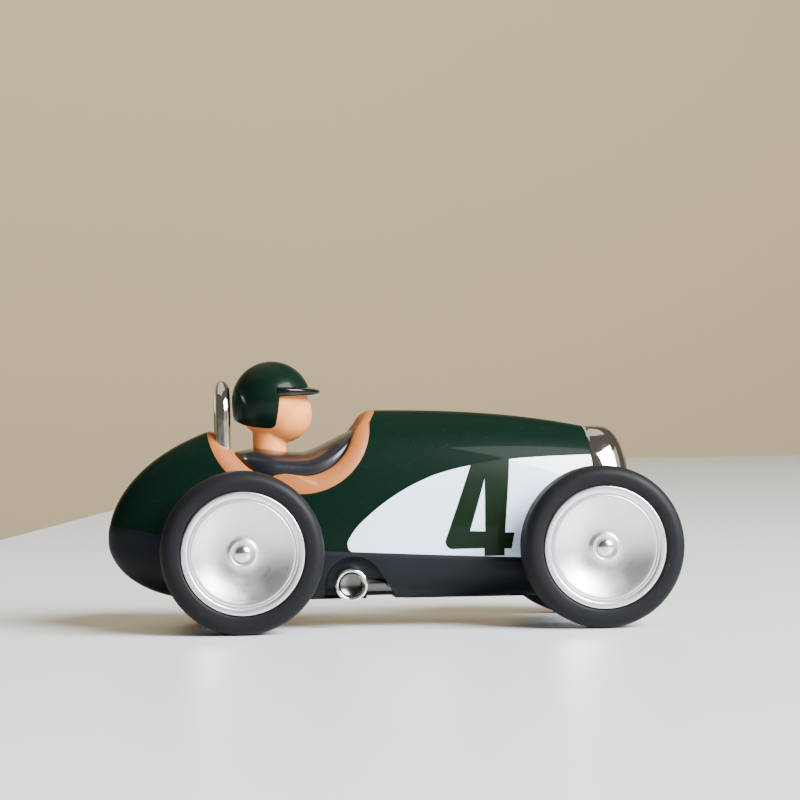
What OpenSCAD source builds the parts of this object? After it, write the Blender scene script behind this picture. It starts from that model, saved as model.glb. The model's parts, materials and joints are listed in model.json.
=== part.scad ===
// Vintage-style pull-back racing car.
// Frame: +X forward, +Y to the car's left, +Z up, origin on the floor under the middle of the car.

/* [Wheels] */
// Distance between the two axles
wheelbase = 100; // [96:1:104]
// Outer radius of a tyre
tyre_r = 22.5; // [21.5:0.5:23.5]
// Width of a tyre
tyre_w = 13; // [12.5:0.5:13.5]
// Outer radius of a wheel disc's flange, where the tyre's side wall begins
rim_r = 17; // [16.5:0.25:17.5]
// Distance from the car's centre plane to the outer side of a tyre
track_half = 36.5; // [36:0.5:38]
// Radius of both axles
axle_r = 1.5; // [1.4:0.1:1.6]

/* [Body] */
// Distance from the tip of the tail to the rear axle
tail_overhang = 36.5; // [35:0.5:38]
// Half of the body's greatest width
body_half_w = 19.5; // [19:0.5:20]
// Half of the body's width where the radiator shell begins
nose_half_w = 14.3; // [13.5:0.1:15]
// Height of the bonnet's highest line
crest_z = 60.9; // [59:0.1:62]
// Height at which every body section is widest
belt_z = 25; // [24:0.5:26]
// Height of the flat underside
floor_z = 8.1; // [7.5:0.1:9]
// Thickness of the body's walls
wall = 1.8; // [1.6:0.1:2]

/* [Cockpit] */
// Radius of the cockpit opening's rounded corners, seen from the side
scoop_r = 19.6; // [19:0.1:20]
// Height of those corners' centres
scoop_z = 57.5; // [57:0.5:58]
// Width of the padded trim, seen from the side
trim_w = 4.5; // [4:0.5:5.5]

/* [Driver] */
// Outer radius of the helmet
helmet_r = 11; // [10.5:0.5:11]
// Radius of the face's ball
face_r = 8.2; // [8:0.1:8.3]
// Radius of the neck
neck_r = 4.8; // [4.5:0.1:5]
// Radius of the roll hoop's rod
hoop_rod_r = 2.1; // [1.8:0.1:2.2]

/* [Motor] */
// Module of all the gears
gear_module = 0.5; // [0.5]
// Teeth on the pinion of the rear axle
axle_teeth = 12; // [12]
// Teeth on the idler's large wheel
idler_teeth = 24; // [24]
// Teeth on the idler's small pinion
idler_pinion_teeth = 12; // [12]
// Teeth on the spring gear
spring_teeth = 36; // [36]

/* [Hidden] */
NODES = [
    "body_shell", "lower_casing", "cockpit_trim", "cockpit_cover", "radiator_shell", "radiator_grille",
    "driver_head", "helmet", "helmet_peak", "head_screw", "roll_hoop",
    "exhaust_right", "exhaust_left", "exhaust_cove_right", "exhaust_cove_left",
    "front_axle", "rear_axle", "front_bushes",
    "tyre_front_right", "tyre_front_left", "tyre_rear_right", "tyre_rear_left",
    "wheel_disc_front_right", "wheel_disc_front_left", "wheel_disc_rear_right", "wheel_disc_rear_left",
    "hub_cap_front_right", "hub_cap_front_left", "hub_cap_rear_right", "hub_cap_rear_left",
    "motor_case_right", "motor_case_left", "motor_screws", "mainspring", "spring_gear", "idler_gear",
    "axle_pinion", "casing_screws"
];
node = "all";
$fn = 64;

length = tail_overhang + wheelbase + tyre_r;
tail_x = -length / 2;
rear_x = tail_x + tail_overhang;
front_x = rear_x + wheelbase;
axle_z = tyre_r;
gap = 0.15; // clearance between neighbouring parts

// ---- Body form ----------------------------------------------------------------------------------
widest_x = tail_x + 69.5;    // where the plan is widest
crown_x = tail_x + 67.5;     // where the tail's curve meets the bonnet's
nose_x = front_x;            // where the radiator shell begins
tip_x = nose_x + 13.2;       // front of the radiator shell
bonnet_drop = 5.5;
tail_power = 2.35;           // the tail's curve at the crest
tail_round = 1.95;           // and at the tip
plan_power = 2.3;
upper_power = 2.4;           // roundness of a section above the belt
lower_power = 3.6;           // and below it
keel_rear_x = tail_x + 37.5; // where the underside starts to rise towards the tail
keel_front_x = nose_x - 7;   // and towards the nose

function bulge(u, p, q) = pow(max(0, 1 - pow(max(0, min(1, u)), p)), 1 / q);
function top_z(x) =
    x < crown_x
        ? belt_z + (crest_z - belt_z) * bulge((crown_x - x) / (crown_x - tail_x), tail_power, tail_round)
    : x < nose_x ? crest_z - bonnet_drop * pow((x - crown_x) / (nose_x - crown_x), 2.7)
    : belt_z + (crest_z - bonnet_drop - belt_z) * bulge((x - nose_x) / (tip_x - nose_x), 4, 2);
function bottom_z(x) =
    x < keel_rear_x ? belt_z - (belt_z - floor_z) *
        bulge((keel_rear_x - x) / (keel_rear_x - tail_x), 2.9, 1.8)
    : x < keel_front_x ? floor_z
    : belt_z - (belt_z - floor_z) * bulge((x - keel_front_x) / (tip_x - keel_front_x), 2.5, 2);
function half_w(x) =
    x < widest_x ? body_half_w * bulge((widest_x - x) / (widest_x - tail_x), plan_power, plan_power)
    : x < nose_x ? body_half_w - (body_half_w - nose_half_w) *
        pow((x - widest_x) / (nose_x - widest_x), 1.8)
    : nose_half_w * bulge((x - nose_x) / (tip_x - nose_x), 3, 2.2);
// Height of the joint between the shell and the casing.
function parting_z(x) = 20.9 - 0.052 * x + 0.0011 * pow(min(0, x + 15), 2);
// Half width of the outer surface at height z, above the belt.
function surface_y(x, z) = half_w(x) * bulge((z - belt_z) / (top_z(x) - belt_z), upper_power, upper_power);

function power_point(c, s, p) = [sign(c) * pow(abs(c), 2 / p), sign(s) * pow(abs(s), 2 / p)];
function section(x, grow, n) = [
    for (i = [0:n - 1])
        let (t = 360 * i / n, up = sin(t) >= 0,
            q = power_point(cos(t), sin(t), up ? upper_power : lower_power),
             h = up ? top_z(x) - belt_z + grow : belt_z - bottom_z(x) + grow)
        [x, q[0] * (half_w(x) + grow), belt_z + q[1] * h]
];
// Stations from x0 to x1, closer together at both ends.
function stations(x0, x1, n) = [for (i = [0:n]) x0 + (x1 - x0) * (1 - cos(180 * i / n)) / 2];
// Quads between closed rings of n points as triangles, with a fan at each end.
function tube_faces(rings, n) = concat(
    [for (r = [0:rings - 2], i = [0:n - 1]) let (a = r * n + i, b = r * n + (i + 1) % n) [a, a + n, b + n]],
    [for (r = [0:rings - 2], i = [0:n - 1]) let (a = r * n + i, b = r * n + (i + 1) % n) [a, b + n, b]],
    [[for (i = [0:n - 1]) i]],
    [[for (i = [0:n - 1]) rings * n - 1 - i]]
);
module loft(grow = 0, count = 34, sides = 36) {
    inset = grow < 0 ? -grow : 0.02;
    xs = stations(tail_x + inset - min(grow, 0) * 0.4, tip_x - inset + min(grow, 0) * 0.4, count);
    polyhedron([for (x = xs) each section(x, grow, sides)], tube_faces(count + 1, sides));
}
// An outline in X and Z, drawn across the car from y0 to y1.
module across(y0, y1) {
    translate([0, y1, 0]) rotate([90, 0, 0]) linear_extrude(y1 - y0) children();
}
// A cylinder along Y.
module bar(x, z, r, y0, y1) {
    translate([x, y1, z]) rotate([90, 0, 0]) cylinder(h = y1 - y0, r = r);
}
module mirrored(side) {
    if (side > 0) mirror([0, 1, 0]) children();
    else children();
}

// ---- Cockpit outline ----------------------------------------------------------------------------
scoop_rear_x = tail_x + 47.5; // centre of the opening's rear corner
scoop_front_x = tail_x + 54;  // and of its front corner
scoop_top = 90;
function arc(cx, cz, r, a0, a1, n)
    = [for (i = [0:n]) let (a = a0 + (a1 - a0) * i / n) [cx + r * cos(a), cz + r * sin(a)]];
function scoop(r) = concat(
    [[scoop_rear_x - r, scoop_top]],
    arc(scoop_rear_x, scoop_z, r, 180, 270, 16),
    arc(scoop_front_x, scoop_z, r, 270, 360, 16),
    [[scoop_front_x + r + 0.65 * (scoop_top - scoop_z), scoop_top]]
);
module above_parting(lift) {
    xs = stations(tail_x - 5, tip_x + 5, 24);
    across(-40, 40) polygon(concat([for (x = xs) [x, parting_z(x) + lift]],
        [[tip_x + 5, 99], [tail_x - 5, 99]]));
}
module below_parting(drop) {
    xs = stations(tail_x - 5, tip_x + 5, 24);
    across(-40, 40) polygon(concat([for (x = xs) [x, parting_z(x) - drop]],
        [[tip_x + 5, -9], [tail_x - 5, -9]]));
}
nose_lean = 0.155; // the radiator shell's joint leans forward going down
function nose_joint_x(z) = nose_x - 1 + nose_lean * (55 - z);
module ahead_of_nose_joint(shift) {
    across(-40, 40) polygon([
        [nose_joint_x(80) + shift, 80], [nose_joint_x(0) + shift, 0], [tip_x + 9, 0], [tip_x + 9, 80]
    ]);
}

// ---- Screws -------------------------------------------------------------------------------------
screw_places = [[tail_x + 14.5, 0], [8, 0], [36, -8], [36, 8]];
screw_r = 1.2;
screw_head_r = 2.4;
screw_length = 14;
function screw_seat_z(p) = bottom_z(p[0]) + 4.5;
function boss_z(p) = parting_z(p[0]) + 1;
module self_tapping_screw(r, length, head_r) {
    cylinder(h = length, r = r);
    difference() {
        translate([0, 0, -1.6]) cylinder(h = 1.6, r = head_r);
        for (a = [0, 90]) rotate(a) translate([-head_r * 0.6, -0.25, -1.7]) cube([head_r * 1.2, 0.5, 0.9]);
    }
}

// ---- Upper shell --------------------------------------------------------------------------------
boss_r = 3.4;
axle_slot_r = 3.6;
module body_shell() {
    color("darkgreen") difference() {
        union() {
            difference() {
                intersection() {
                    loft();
                    above_parting(0);
                }
                loft(-wall);
            }
            intersection() {
                loft(-wall / 2, 24, 24);
                for (p = screw_places)
                    translate([p[0], p[1], boss_z(p)]) cylinder(h = 60, r = boss_r);
            }
        }
        across(-40, 40) polygon(scoop(scoop_r));
        ahead_of_nose_joint(0);
        for (p = screw_places) translate([p[0], p[1], 0])
            cylinder(h = screw_seat_z(p) + screw_length + 1, r = screw_r + 0.05);
        for (x = [rear_x, front_x]) bar(x, axle_z, axle_slot_r, -40, 40);
        across(-40, 40) translate([front_x - axle_slot_r, 0]) square([2 * axle_slot_r, axle_z]);
        for (s = [-1, 1]) hoop_leg(s, 0.1);
    }
}

// ---- Lower casing -------------------------------------------------------------------------------
casing_proud = 0.5;   // the casing stands this far outside the shell
casing_wall = 2.3;
cradle_xs = [rear_x + 4, rear_x + 22];
pad_z = floor_z - casing_proud - 0.1; // flat pad under the casing
pad_x0 = 4;
pad_x1 = 50;
pad_half_w = 5.2;
arch_x = tail_x + 68.2; // centre of the exhaust arch
arch_z = 12.2;
arch_r = 8.1;
arch_lean = 33;         // where the arch's round part gives way to its straight front side
tunnel_z = 8.9;         // underside of the casing between the arches
arch_depth = 8;
arch_y = body_half_w + casing_proud; // outer side of the casing at the arch
liner = 0.8;            // wall behind the arch
carrier_y0 = 7;         // front axle carriers, from here
carrier_y1 = 10.5;      // to here
carrier_half = 6;
bush_r = 3.2;
cradle_half = 13;       // half width of the ribs that carry the motor
// Place along X of the arch's straight front side at height z.
function arch_front(z, grow) = arch_x + (arch_r + grow - (z - arch_z) * sin(arch_lean)) / cos(arch_lean);
module arch(grow, y0, y1) {
    across(y0, y1) polygon(concat(
        [[arch_x - arch_r - grow, -1]],
        arc(arch_x, arch_z, arch_r + grow, 180, arch_lean, 16),
        [[arch_front(-1, grow), -1]]
    ));
}
module tunnel() {
    across(-40, 40) polygon([
        [arch_x + 4, -1], [arch_x + 4, tunnel_z], [arch_front(tunnel_z, 0), tunnel_z],
            [arch_front(-1, 0), -1]
    ]);
}
module axle_slot(x) {
    bar(x, axle_z, bush_r + 0.05, -40, 40);
    translate([x - bush_r - 0.05, -40, axle_z]) cube([2 * bush_r + 0.1, 80, 20]);
}
module arch_liner() {
    difference() {
        arch(liner, -arch_y - 2, -arch_y + arch_depth + liner);
        translate([-50, -30, -40]) cube([100, 60, 40 + floor_z + 0.2]);
    }
}
module lower_casing() {
    color([0.09, 0.1, 0.12]) difference() {
        union() {
            difference() {
                intersection() {
                    loft(casing_proud);
                    below_parting(0);
                }
                loft(casing_proud - casing_wall);
            }
            intersection() {
                loft(casing_proud - 0.4, 24, 24);
                union() {
                    for (p = screw_places) translate([p[0], p[1], 0])
                        cylinder(h = boss_z(p) - gap, r = boss_r + 0.4);
                    for (s = [-1, 1]) mirrored(s) {
                        translate([front_x - carrier_half, -carrier_y1, 0])
                            cube([2 * carrier_half, carrier_y1 - carrier_y0, axle_z + 2.5]);
                        intersection() {
                            arch_liner();
                            below_parting(0);
                        }
                    }
                    for (x = cradle_xs) translate([x, -cradle_half, 0])
                        cube([1.6, 2 * cradle_half, axle_z - 4]);
                }
            }
            translate([pad_x0, -pad_half_w, pad_z]) cube([pad_x1 - pad_x0, 2 * pad_half_w, 1.2]);
        }
        for (s = [-1, 1]) mirrored(s) {
            arch(0, -arch_y - 2, -arch_y + arch_depth);
            pipe_run(0.1);
        }
        tunnel();
        for (p = screw_places) translate([p[0], p[1], -1]) {
            cylinder(h = 40, r = screw_r + 0.2);
            cylinder(h = screw_seat_z(p) + 1, r = screw_head_r + 0.3);
        }
        for (x = [rear_x, front_x]) axle_slot(x);
        across(-case_y - 0.1, case_y + 0.1) case_outline(-0.1);
    }
}

// ---- Cockpit trim and cover ---------------------------------------------------------------------
// Side views of the trim's outer and inner edges, from the rear (t = 0) to the front (t = 1).
trim_rear_angle = 188.5;
trim_inner_rear_angle = 221;
trim_inner_front_angle = 350;
trim_half_w = 15.6;          // half width of the inner edge
function walk(points, t) =
    let (n = len(points) - 1, k = min(n - 1, floor(t * n)), f = t * n - k)
        points[k] * (1 - f) + points[k + 1] * f;
outer_edge = concat(
    arc(scoop_rear_x, scoop_z, scoop_r - gap, trim_rear_angle, 270, 12),
    arc(scoop_front_x, scoop_z, scoop_r - gap, 270, 360, 12),
    [[scoop_front_x + scoop_r + 1.8, top_z(scoop_front_x + scoop_r + 2)]]
);
inner_edge = concat(
    arc(scoop_rear_x, scoop_z, scoop_r - trim_w, trim_inner_rear_angle, 270, 12),
    arc(scoop_front_x + 0.9, scoop_z, scoop_r - trim_w, 270, trim_inner_front_angle, 12)
);
trim_steps = 28;
function ease(k) = (1 - cos(180 * k / trim_steps)) / 2;
function outer_point(k) = let (p = walk(outer_edge, ease(k)))
    [p[0], k == 0 || k == trim_steps ? 0 : -surface_y(p[0], min(p[1], top_z(p[0]) - 0.001)), p[1]];
function inner_point(k) = let (p = walk(inner_edge, ease(k)))
    [p[0], -trim_half_w * pow(sin(180 * k / trim_steps), 0.75), p[1]];
function towards(a, b, d) = a + d * (b - a) / norm(b - a);
// One closed section of the trim: outer edge, two crown points, inner edge, and two points under it.
function trim_section(k) =
    let (o = outer_point(k), i = inner_point(k), side = abs(o[1]) / body_half_w,
         out = [k > trim_steps / 2 ? 0.1 : -0.1, -1 * side, 1 - 0.8 * side],
             lean = (1 - side) * (k > trim_steps / 2 ? -1.6 : 0.6),
         under = [lean, 2.4 * side, -2.6 * (1 - side)])
    [o, o * 0.72 + i * 0.28 + 0.9 * out, o * 0.35 + i * 0.65 + 0.9 * out,
        i, i + [0, -0.3 * side, -2.2], o + under];
function flip(p) = [p[0], -p[1], p[2]];
trim_ring = concat(
    [for (k = [0:trim_steps]) trim_section(k)],
    [for (k = [trim_steps - 1:-1:1]) [for (p = trim_section(k)) flip(p)]]
);
module cockpit_trim() {
    n = len(trim_ring);
    m = 6;
    color("burlywood") difference() {
        polyhedron(
            [for (s = trim_ring) each s],
            concat(
                [for (r = [0:n - 1], i = [0:m - 1]) [r * m + i, r * m + (i + 1) % m,
                    (r + 1) % n * m + (i + 1) % m]],
                [for (r = [0:n - 1], i = [0:m - 1]) [r * m + i, (r + 1) % n * m + (i + 1) % m,
                    (r + 1) % n * m + i]]
            )
        );
        for (s = [-1, 1]) hoop_leg(s, 0.1);
    }
}
// Height of the cover's middle line, a hollow saddle that rises to the front.
function cover_crest(x) = let (f = min(1, max(0, x - tail_x - 54) / 15))
    48.9 + 1.6 * exp(-pow((x - tail_x - 43) / 7, 2)) + 6.2 * pow(f, 1.5) * (1.25 - 0.25 * f * f);
cover_t = 2.4;
cover_steps = 20;
cover_sides = 14;
function cover_point(k, j, drop) =
    let (p = walk(inner_edge, (1 - cos(180 * k / cover_steps)) / 2),
        w = (trim_half_w - gap) * pow(max(0.02, sin(180 * k / cover_steps)), 0.75),
         c = cos(180 * j / cover_sides), crown = max(0.3, cover_crest(p[0]) - p[1]))
    [p[0], w * c, p[1] + gap + crown * pow(max(0, 1 - c * c), 0.55) - drop];
module cockpit_cover() {
    top = [for (k = [0:cover_steps]) [for (j = [0:cover_sides]) cover_point(k, j, 0)]];
    low = [for (k = [0:cover_steps]) [for (j = [cover_sides:-1:0]) cover_point(k, j, cover_t)]];
    n = 2 * (cover_sides + 1);
    color([0.05, 0.055, 0.07]) difference() {
        polyhedron([for (k = [0:cover_steps]) each concat(top[k], low[k])], tube_faces(cover_steps + 1, n));
        translate([neck_x, 0, 0]) cylinder(h = 80, r = spigot_r + 0.1);
        translate([neck_x, 0, neck_foot_z - 0.05]) cylinder(h = 20, r = neck_r + 0.05);
    }
}

// ---- Radiator -----------------------------------------------------------------------------------
nose_proud = 0.4;
window_z0 = 24;
window_z1 = 47;
window_half_w = 8;
module radiator_shell() {
    color("silver") difference() {
        intersection() {
            loft(nose_proud);
            above_parting(0.1);
            ahead_of_nose_joint(gap);
        }
        loft(nose_proud - wall);
        translate([tip_x - 8, 0, 0]) rotate([90, 0, 90]) linear_extrude(12) grille_outline(0);
        bar(front_x, axle_z, axle_slot_r, -40, 40);
    }
}
// Upright window with a round top and a narrower foot.
module grille_outline(inset) {
    polygon(concat(
        arc(0, window_z1 - window_half_w, window_half_w - inset, 0, 180, 16),
        [[-window_half_w * 0.72 + inset, window_z0 + inset],
            [window_half_w * 0.72 - inset, window_z0 + inset]]
    ));
}
bar_count = 7;
bar_pitch = 2;
grille_x = tip_x - 4.6;
module radiator_grille() {
    color("gray") {
        translate([grille_x, 0, 0]) rotate([90, 0, 90]) linear_extrude(1) grille_outline(-0.8);
        for (i = [0:bar_count - 1]) {
            y = (i - (bar_count - 1) / 2) * bar_pitch;
            h = window_z1 - window_half_w + sqrt(pow(window_half_w, 2) - y * y) - 1.2 - window_z0;
            translate([grille_x + 1.2, y, window_z0 + 0.4]) cylinder(h = h, r = 0.6);
        }
    }
}

// ---- Driver -------------------------------------------------------------------------------------
neck_x = tail_x + 46;
face_x = tail_x + 50;
face_z = 60.2;
helmet_x = tail_x + 46.4;
helmet_z = 64.1;
helmet_wall = 1.1;
spigot_r = 2.6;
neck_foot_z = 49.3;
spigot_length = 1.6;
head_screw_length = 9;
module driver_head() {
    color("peachpuff") difference() {
        union() {
            translate([face_x, 0, face_z]) sphere(r = face_r);
            translate([helmet_x, 0, helmet_z]) sphere(r = helmet_r - helmet_wall - 0.05);
            translate([neck_x, 0, neck_foot_z]) cylinder(h = 10, r = neck_r);
            translate([neck_x, 0, neck_foot_z - spigot_length]) cylinder(h = 4, r = spigot_r);
        }
        translate([neck_x, 0, neck_foot_z - 9])
            cylinder(h = 9 + head_screw_length - spigot_length, r = 1.05);
    }
}
opening_x = tail_x + 47.8; // front edge of the helmet's cheek
brow_z = 66.5;
ear_z = 56.5;              // lower edge of the helmet
module helmet() {
    color("darkgreen") difference() {
        translate([helmet_x, 0, helmet_z]) sphere(r = helmet_r);
        translate([helmet_x, 0, helmet_z]) sphere(r = helmet_r - helmet_wall);
        translate([face_x, 0, face_z]) sphere(r = face_r + 0.05);
        across(-20, 20) polygon(concat(
            [[opening_x + 20, brow_z], [opening_x, brow_z]],
            arc(opening_x - 2, ear_z + 2, 2, 0, -90, 6),
            [[opening_x - 9, ear_z + 0.4], [opening_x - 20, ear_z + 3.5],
                [opening_x - 20, ear_z - 12], [opening_x + 20, ear_z - 12]]
        ));
        across(-20, 20) translate([opening_x + 0.3, peak_z - 0.1]) square([20, peak_t + 0.2]);
    }
}
peak_z = 65.8;
peak_t = 1.5;
peak_reach = tail_x + 60.3;
module helmet_peak() {
    r = helmet_r + 0.6;
    color([0.03, 0.03, 0.035]) difference() {
        intersection() {
            translate([peak_reach - r, 0, peak_z]) cylinder(h = peak_t, r = r);
            translate([opening_x + 0.4, -20, 0]) cube([40, 40, 99]);
        }
        translate([helmet_x, 0, helmet_z]) sphere(r = helmet_r - helmet_wall + 0.05);
    }
}
module head_screw() {
    color("gray") translate([neck_x, 0, neck_foot_z - 2]) self_tapping_screw(1, head_screw_length, 3.8);
}

// ---- Roll hoop ----------------------------------------------------------------------------------
hoop_x = tail_x + 32.6;
hoop_top = 70;
hoop_half = 8;
hoop_foot = 45;
module hoop_leg(side, grow) {
    translate([hoop_x, side * hoop_half, hoop_foot])
        cylinder(h = hoop_top - hoop_rod_r - hoop_half - hoop_foot, r = hoop_rod_r + grow);
}
module roll_hoop() {
    color("silver") {
        for (s = [-1, 1]) hoop_leg(s, 0);
        translate([hoop_x, 0, hoop_top - hoop_rod_r - hoop_half]) rotate([90, 0, 90])
            rotate_extrude(angle = 180) translate([hoop_half, 0]) circle(r = hoop_rod_r);
    }
}

// ---- Exhaust ------------------------------------------------------------------------------------
pipe_r = 2.2;
pipe_y = -15.4;
outlet_x = arch_x - 0.9;
outlet_z = 12.4;
outlet_r = 4.6;
outlet_bore_r = 3.5;
lip_r = 0.55;
outlet_y = -20.8;
elbow_r = 3.4;
pipe_length = 8.3;
// Straight run of the pipe, forward from the elbow behind the outlet.
module pipe_run(grow) {
    translate([outlet_x + elbow_r, pipe_y, outlet_z]) rotate([0, 90, 0])
        cylinder(h = pipe_length + grow, r = pipe_r + grow);
}
module exhaust(side) {
    mirrored(side) color("silver") difference() {
        union() {
            pipe_run(0);
            translate([outlet_x + elbow_r, pipe_y - elbow_r, outlet_z]) rotate([0, 0, 90])
                rotate_extrude(angle = 90) translate([elbow_r, 0]) circle(r = pipe_r);
            bar(outlet_x, outlet_z, pipe_r, outlet_y + 1, pipe_y - elbow_r);
            // turned outlet: a bell with a rolled lip
            translate([outlet_x, outlet_y, outlet_z]) rotate([-90, 0, 0]) rotate_extrude() polygon(concat(
                [[0, 3.4], [0, 0.2]],
                arc(outlet_r - lip_r, lip_r, lip_r, -90, 90, 8),
                [[outlet_r - 0.5, 2.6], [outlet_r - 1.4, 3.4]]
            ));
        }
        bar(outlet_x, outlet_z, outlet_bore_r, outlet_y - 1, outlet_y + 1.6);
    }
}
cove_wall = 1;
module exhaust_cove(side) {
    mirrored(side) color([0.02, 0.02, 0.025]) difference() {
        arch(-0.1, -arch_y + 0.7, -arch_y + arch_depth - 0.1);
        arch(-0.1 - cove_wall, -arch_y - 2, -arch_y + arch_depth - 0.1 - cove_wall);
        translate([arch_x - 20, -30, -20]) cube([40, 30, 20 + tunnel_z + 0.2]);
        pipe_run(0.1);
    }
}

// ---- Wheels -------------------------------------------------------------------------------------
seat_r = 15.5;
hub_r = 4.2;
module wheel_at(x, side) {
    translate([x, 0, axle_z]) mirrored(side) translate([0, -track_half + tyre_w, 0])
        rotate([90, 0, 0]) children();
}
// Half outline of the tyre from the rim to the middle of the tread, at height v from the tyre's mid-plane.
shoulder = [3.4, 3.4];
function tyre_half(s) = concat(
    [[seat_r, s * (tyre_w / 2 - 1.6)], [rim_r + 0.02, s * (tyre_w / 2 - 1.6)],
        [rim_r + 0.02, s * (tyre_w / 2 - 0.5)]],
    [for (i = [0:10]) let (a = 90 - 9 * i)
        [tyre_r - shoulder[0] + shoulder[0] * cos(a),
            s * (tyre_w / 2 - shoulder[1] + shoulder[1] * sin(a))]]
);
module tyre(x, side) {
    upper = tyre_half(1);
    lower = tyre_half(-1);
    color([0.08, 0.08, 0.09]) wheel_at(x, side) translate([0, 0, tyre_w / 2]) rotate_extrude()
        polygon(concat(upper, [for (i = [len(lower) - 1:-1:0]) lower[i]]));
}
module wheel_disc(x, side) {
    color("lightgray") wheel_at(x, side) rotate_extrude() polygon(concat(
        [[axle_r, 0.6], [3.4, 0.6], [3.4, 8.9], [13.6, 10.6], [13.9, 10.2], [13.9, 0.9],
            [14.2, 0.5], [16.4, 0.5], [16.4, 1.55],
         [seat_r - 0.03, 1.55], [seat_r - 0.03, tyre_w - 1.55], [rim_r, tyre_w - 1.55]],
        arc(rim_r - 0.5, tyre_w - 0.45, 0.5, 0, 90, 6),
        arc(rim_r - 1.7, tyre_w - 0.35, 0.4, 90, 180, 6),
        [[14.6, tyre_w - 0.9]],
        [for (i = [0:8]) let (f = i / 8) [14.3 - 9.6 * f, tyre_w - 0.75 - 1.5 * sin(90 * f)]],
        [[hub_r, tyre_w - 2]],
        arc(hub_r - 0.6, tyre_w - 0.3, 0.5, 20, 160, 6),
        [[2.75, tyre_w - 0.7], [1, tyre_w - 0.7], [1, 11.2], [axle_r, 11.2]]
    ));
}
module hub_cap(x, side) {
    color("gainsboro") wheel_at(x, side) rotate_extrude() polygon(concat(
        [[0, 11.3], [1, 11.3], [1, tyre_w - 0.7], [2.3, tyre_w - 0.7], [2.3, tyre_w - 0.1]],
        [for (i = [1:8]) [2.3 * cos(90 * i / 8), tyre_w - 0.1 + 1 * sin(90 * i / 8)]]
    ));
}
axle_half = track_half - tyre_w + 11.2;
module axle(x) {
    color("silver") bar(x, axle_z, axle_r, -axle_half, axle_half);
}
module front_bushes() {
    color("white") for (s = [-1, 1]) mirrored(s) difference() {
        union() {
            bar(front_x, axle_z, bush_r, -carrier_y1 - 0.2, -carrier_y0 + 0.2);
            bar(front_x, axle_z, bush_r + 1, -carrier_y0 + 0.2, -carrier_y0 + 1.2);
        }
        bar(front_x, axle_z, axle_r + 0.05, -40, 0);
    }
}

// ---- Pull-back motor ----------------------------------------------------------------------------
addendum = 0.75 * gear_module;
dedendum = 1.1 * gear_module;
backlash = 0.16;    // thinning of every tooth at its pitch circle
pressure = 20;
mesh_slack = 0.06;  // added to each centre distance
idler_angle = 50;
spring_angle = -31.5;
function pitch_r(teeth) = gear_module * teeth / 2;
idler_dist = pitch_r(axle_teeth) + pitch_r(idler_teeth) + mesh_slack;
spring_dist = pitch_r(idler_pinion_teeth) + pitch_r(spring_teeth) + mesh_slack;
idler_x = rear_x + idler_dist * cos(idler_angle);
idler_z = axle_z + idler_dist * sin(idler_angle);
spring_x = idler_x + spring_dist * cos(spring_angle);
spring_z = idler_z + spring_dist * sin(spring_angle);
function involute(rb, t) = rb * [cos(t) + t * PI / 180 * sin(t), sin(t) - t * PI / 180 * cos(t)];
function turn(p, a) = [p[0] * cos(a) - p[1] * sin(a), p[0] * sin(a) + p[1] * cos(a)];
function involute_angle(rb, r) = r <= rb ? 0 : sqrt(pow(r / rb, 2) - 1) * 180 / PI;
function flank(teeth) =
    let (rp = pitch_r(teeth), rb = rp * cos(pressure), ra = rp + addendum, rr = rp - dedendum,
         tp = involute_angle(rb, rp), base = atan2(involute(rb, tp)[1], involute(rb, tp)[0]),
         half = 90 / teeth - backlash / 2 / rp * 180 / PI,
             t0 = involute_angle(rb, max(rb, rr)), t1 = involute_angle(rb, ra))
    concat(
        rr < rb ? [turn([rr, 0], -half - base)] : [],
        [for (i = [0:4]) turn(involute(rb, t0 + (t1 - t0) * i / 4), -half - base)]
    );
module gear_2d(teeth, phase) {
    f = flank(teeth);
    g = [for (i = [len(f) - 1:-1:0]) [f[i][0], -f[i][1]]];
    polygon([for (k = [0:teeth - 1]) each [for (p = concat(f, g)) turn(p, phase + 360 * k / teeth)]]);
}
module gear(x, z, teeth, phase, y0, y1) {
    across(y0, y1) translate([x, z]) gear_2d(teeth, phase);
}
case_y = 10.8;
case_wall = 1.2;
gear_pivot_r = 1;
arbor_r = 1.7;
spring_y0 = -9.2;
spring_y1 = -2.4;
module axle_pinion() {
    color("white") difference() {
        gear(rear_x, axle_z, axle_teeth, idler_angle, 1.6, 4.4);
        bar(rear_x, axle_z, axle_r, -9, 9);
    }
}
module idler_gear() {
    color("khaki") {
        gear(idler_x, idler_z, idler_teeth, idler_angle + 180 + 180 / idler_teeth, 2, 4);
        gear(idler_x, idler_z, idler_pinion_teeth, spring_angle, -1.6, 2);
        bar(idler_x, idler_z, gear_pivot_r, -case_y + 0.2, case_y - 0.2);
    }
}
module spring_gear() {
    color("tomato") {
        gear(spring_x, spring_z, spring_teeth, spring_angle + 180 + 180 / spring_teeth, -1.3, 1.3);
        bar(spring_x, spring_z, arbor_r, spring_y0 + 0.1, -1);
        bar(spring_x, spring_z, gear_pivot_r, -case_y + 0.2, case_y - 0.2);
    }
}
coil_turns = 5;
coil_steps = 18;
coil_t = 0.3;
function coil_r(a) = arbor_r + 0.3 + (8.9 - arbor_r - 0.3) * a / (360 * coil_turns);
module mainspring() {
    n = coil_turns * coil_steps;
    color("slategray") across(spring_y0, spring_y1) translate([spring_x, spring_z]) polygon(concat(
        [for (i = [0:n]) let (a = 360 * i / coil_steps) coil_r(a) * [cos(a), sin(a)]],
        [for (i = [n:-1:0]) let (a = 360 * i / coil_steps) (coil_r(a) + coil_t) * [cos(a), sin(a)]]
    ));
}
ear_r = 2.6;
motor_screw_places = [[rear_x - 1.5, axle_z + 9.5], [spring_x + 11.4, spring_z + 5.5]];
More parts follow.
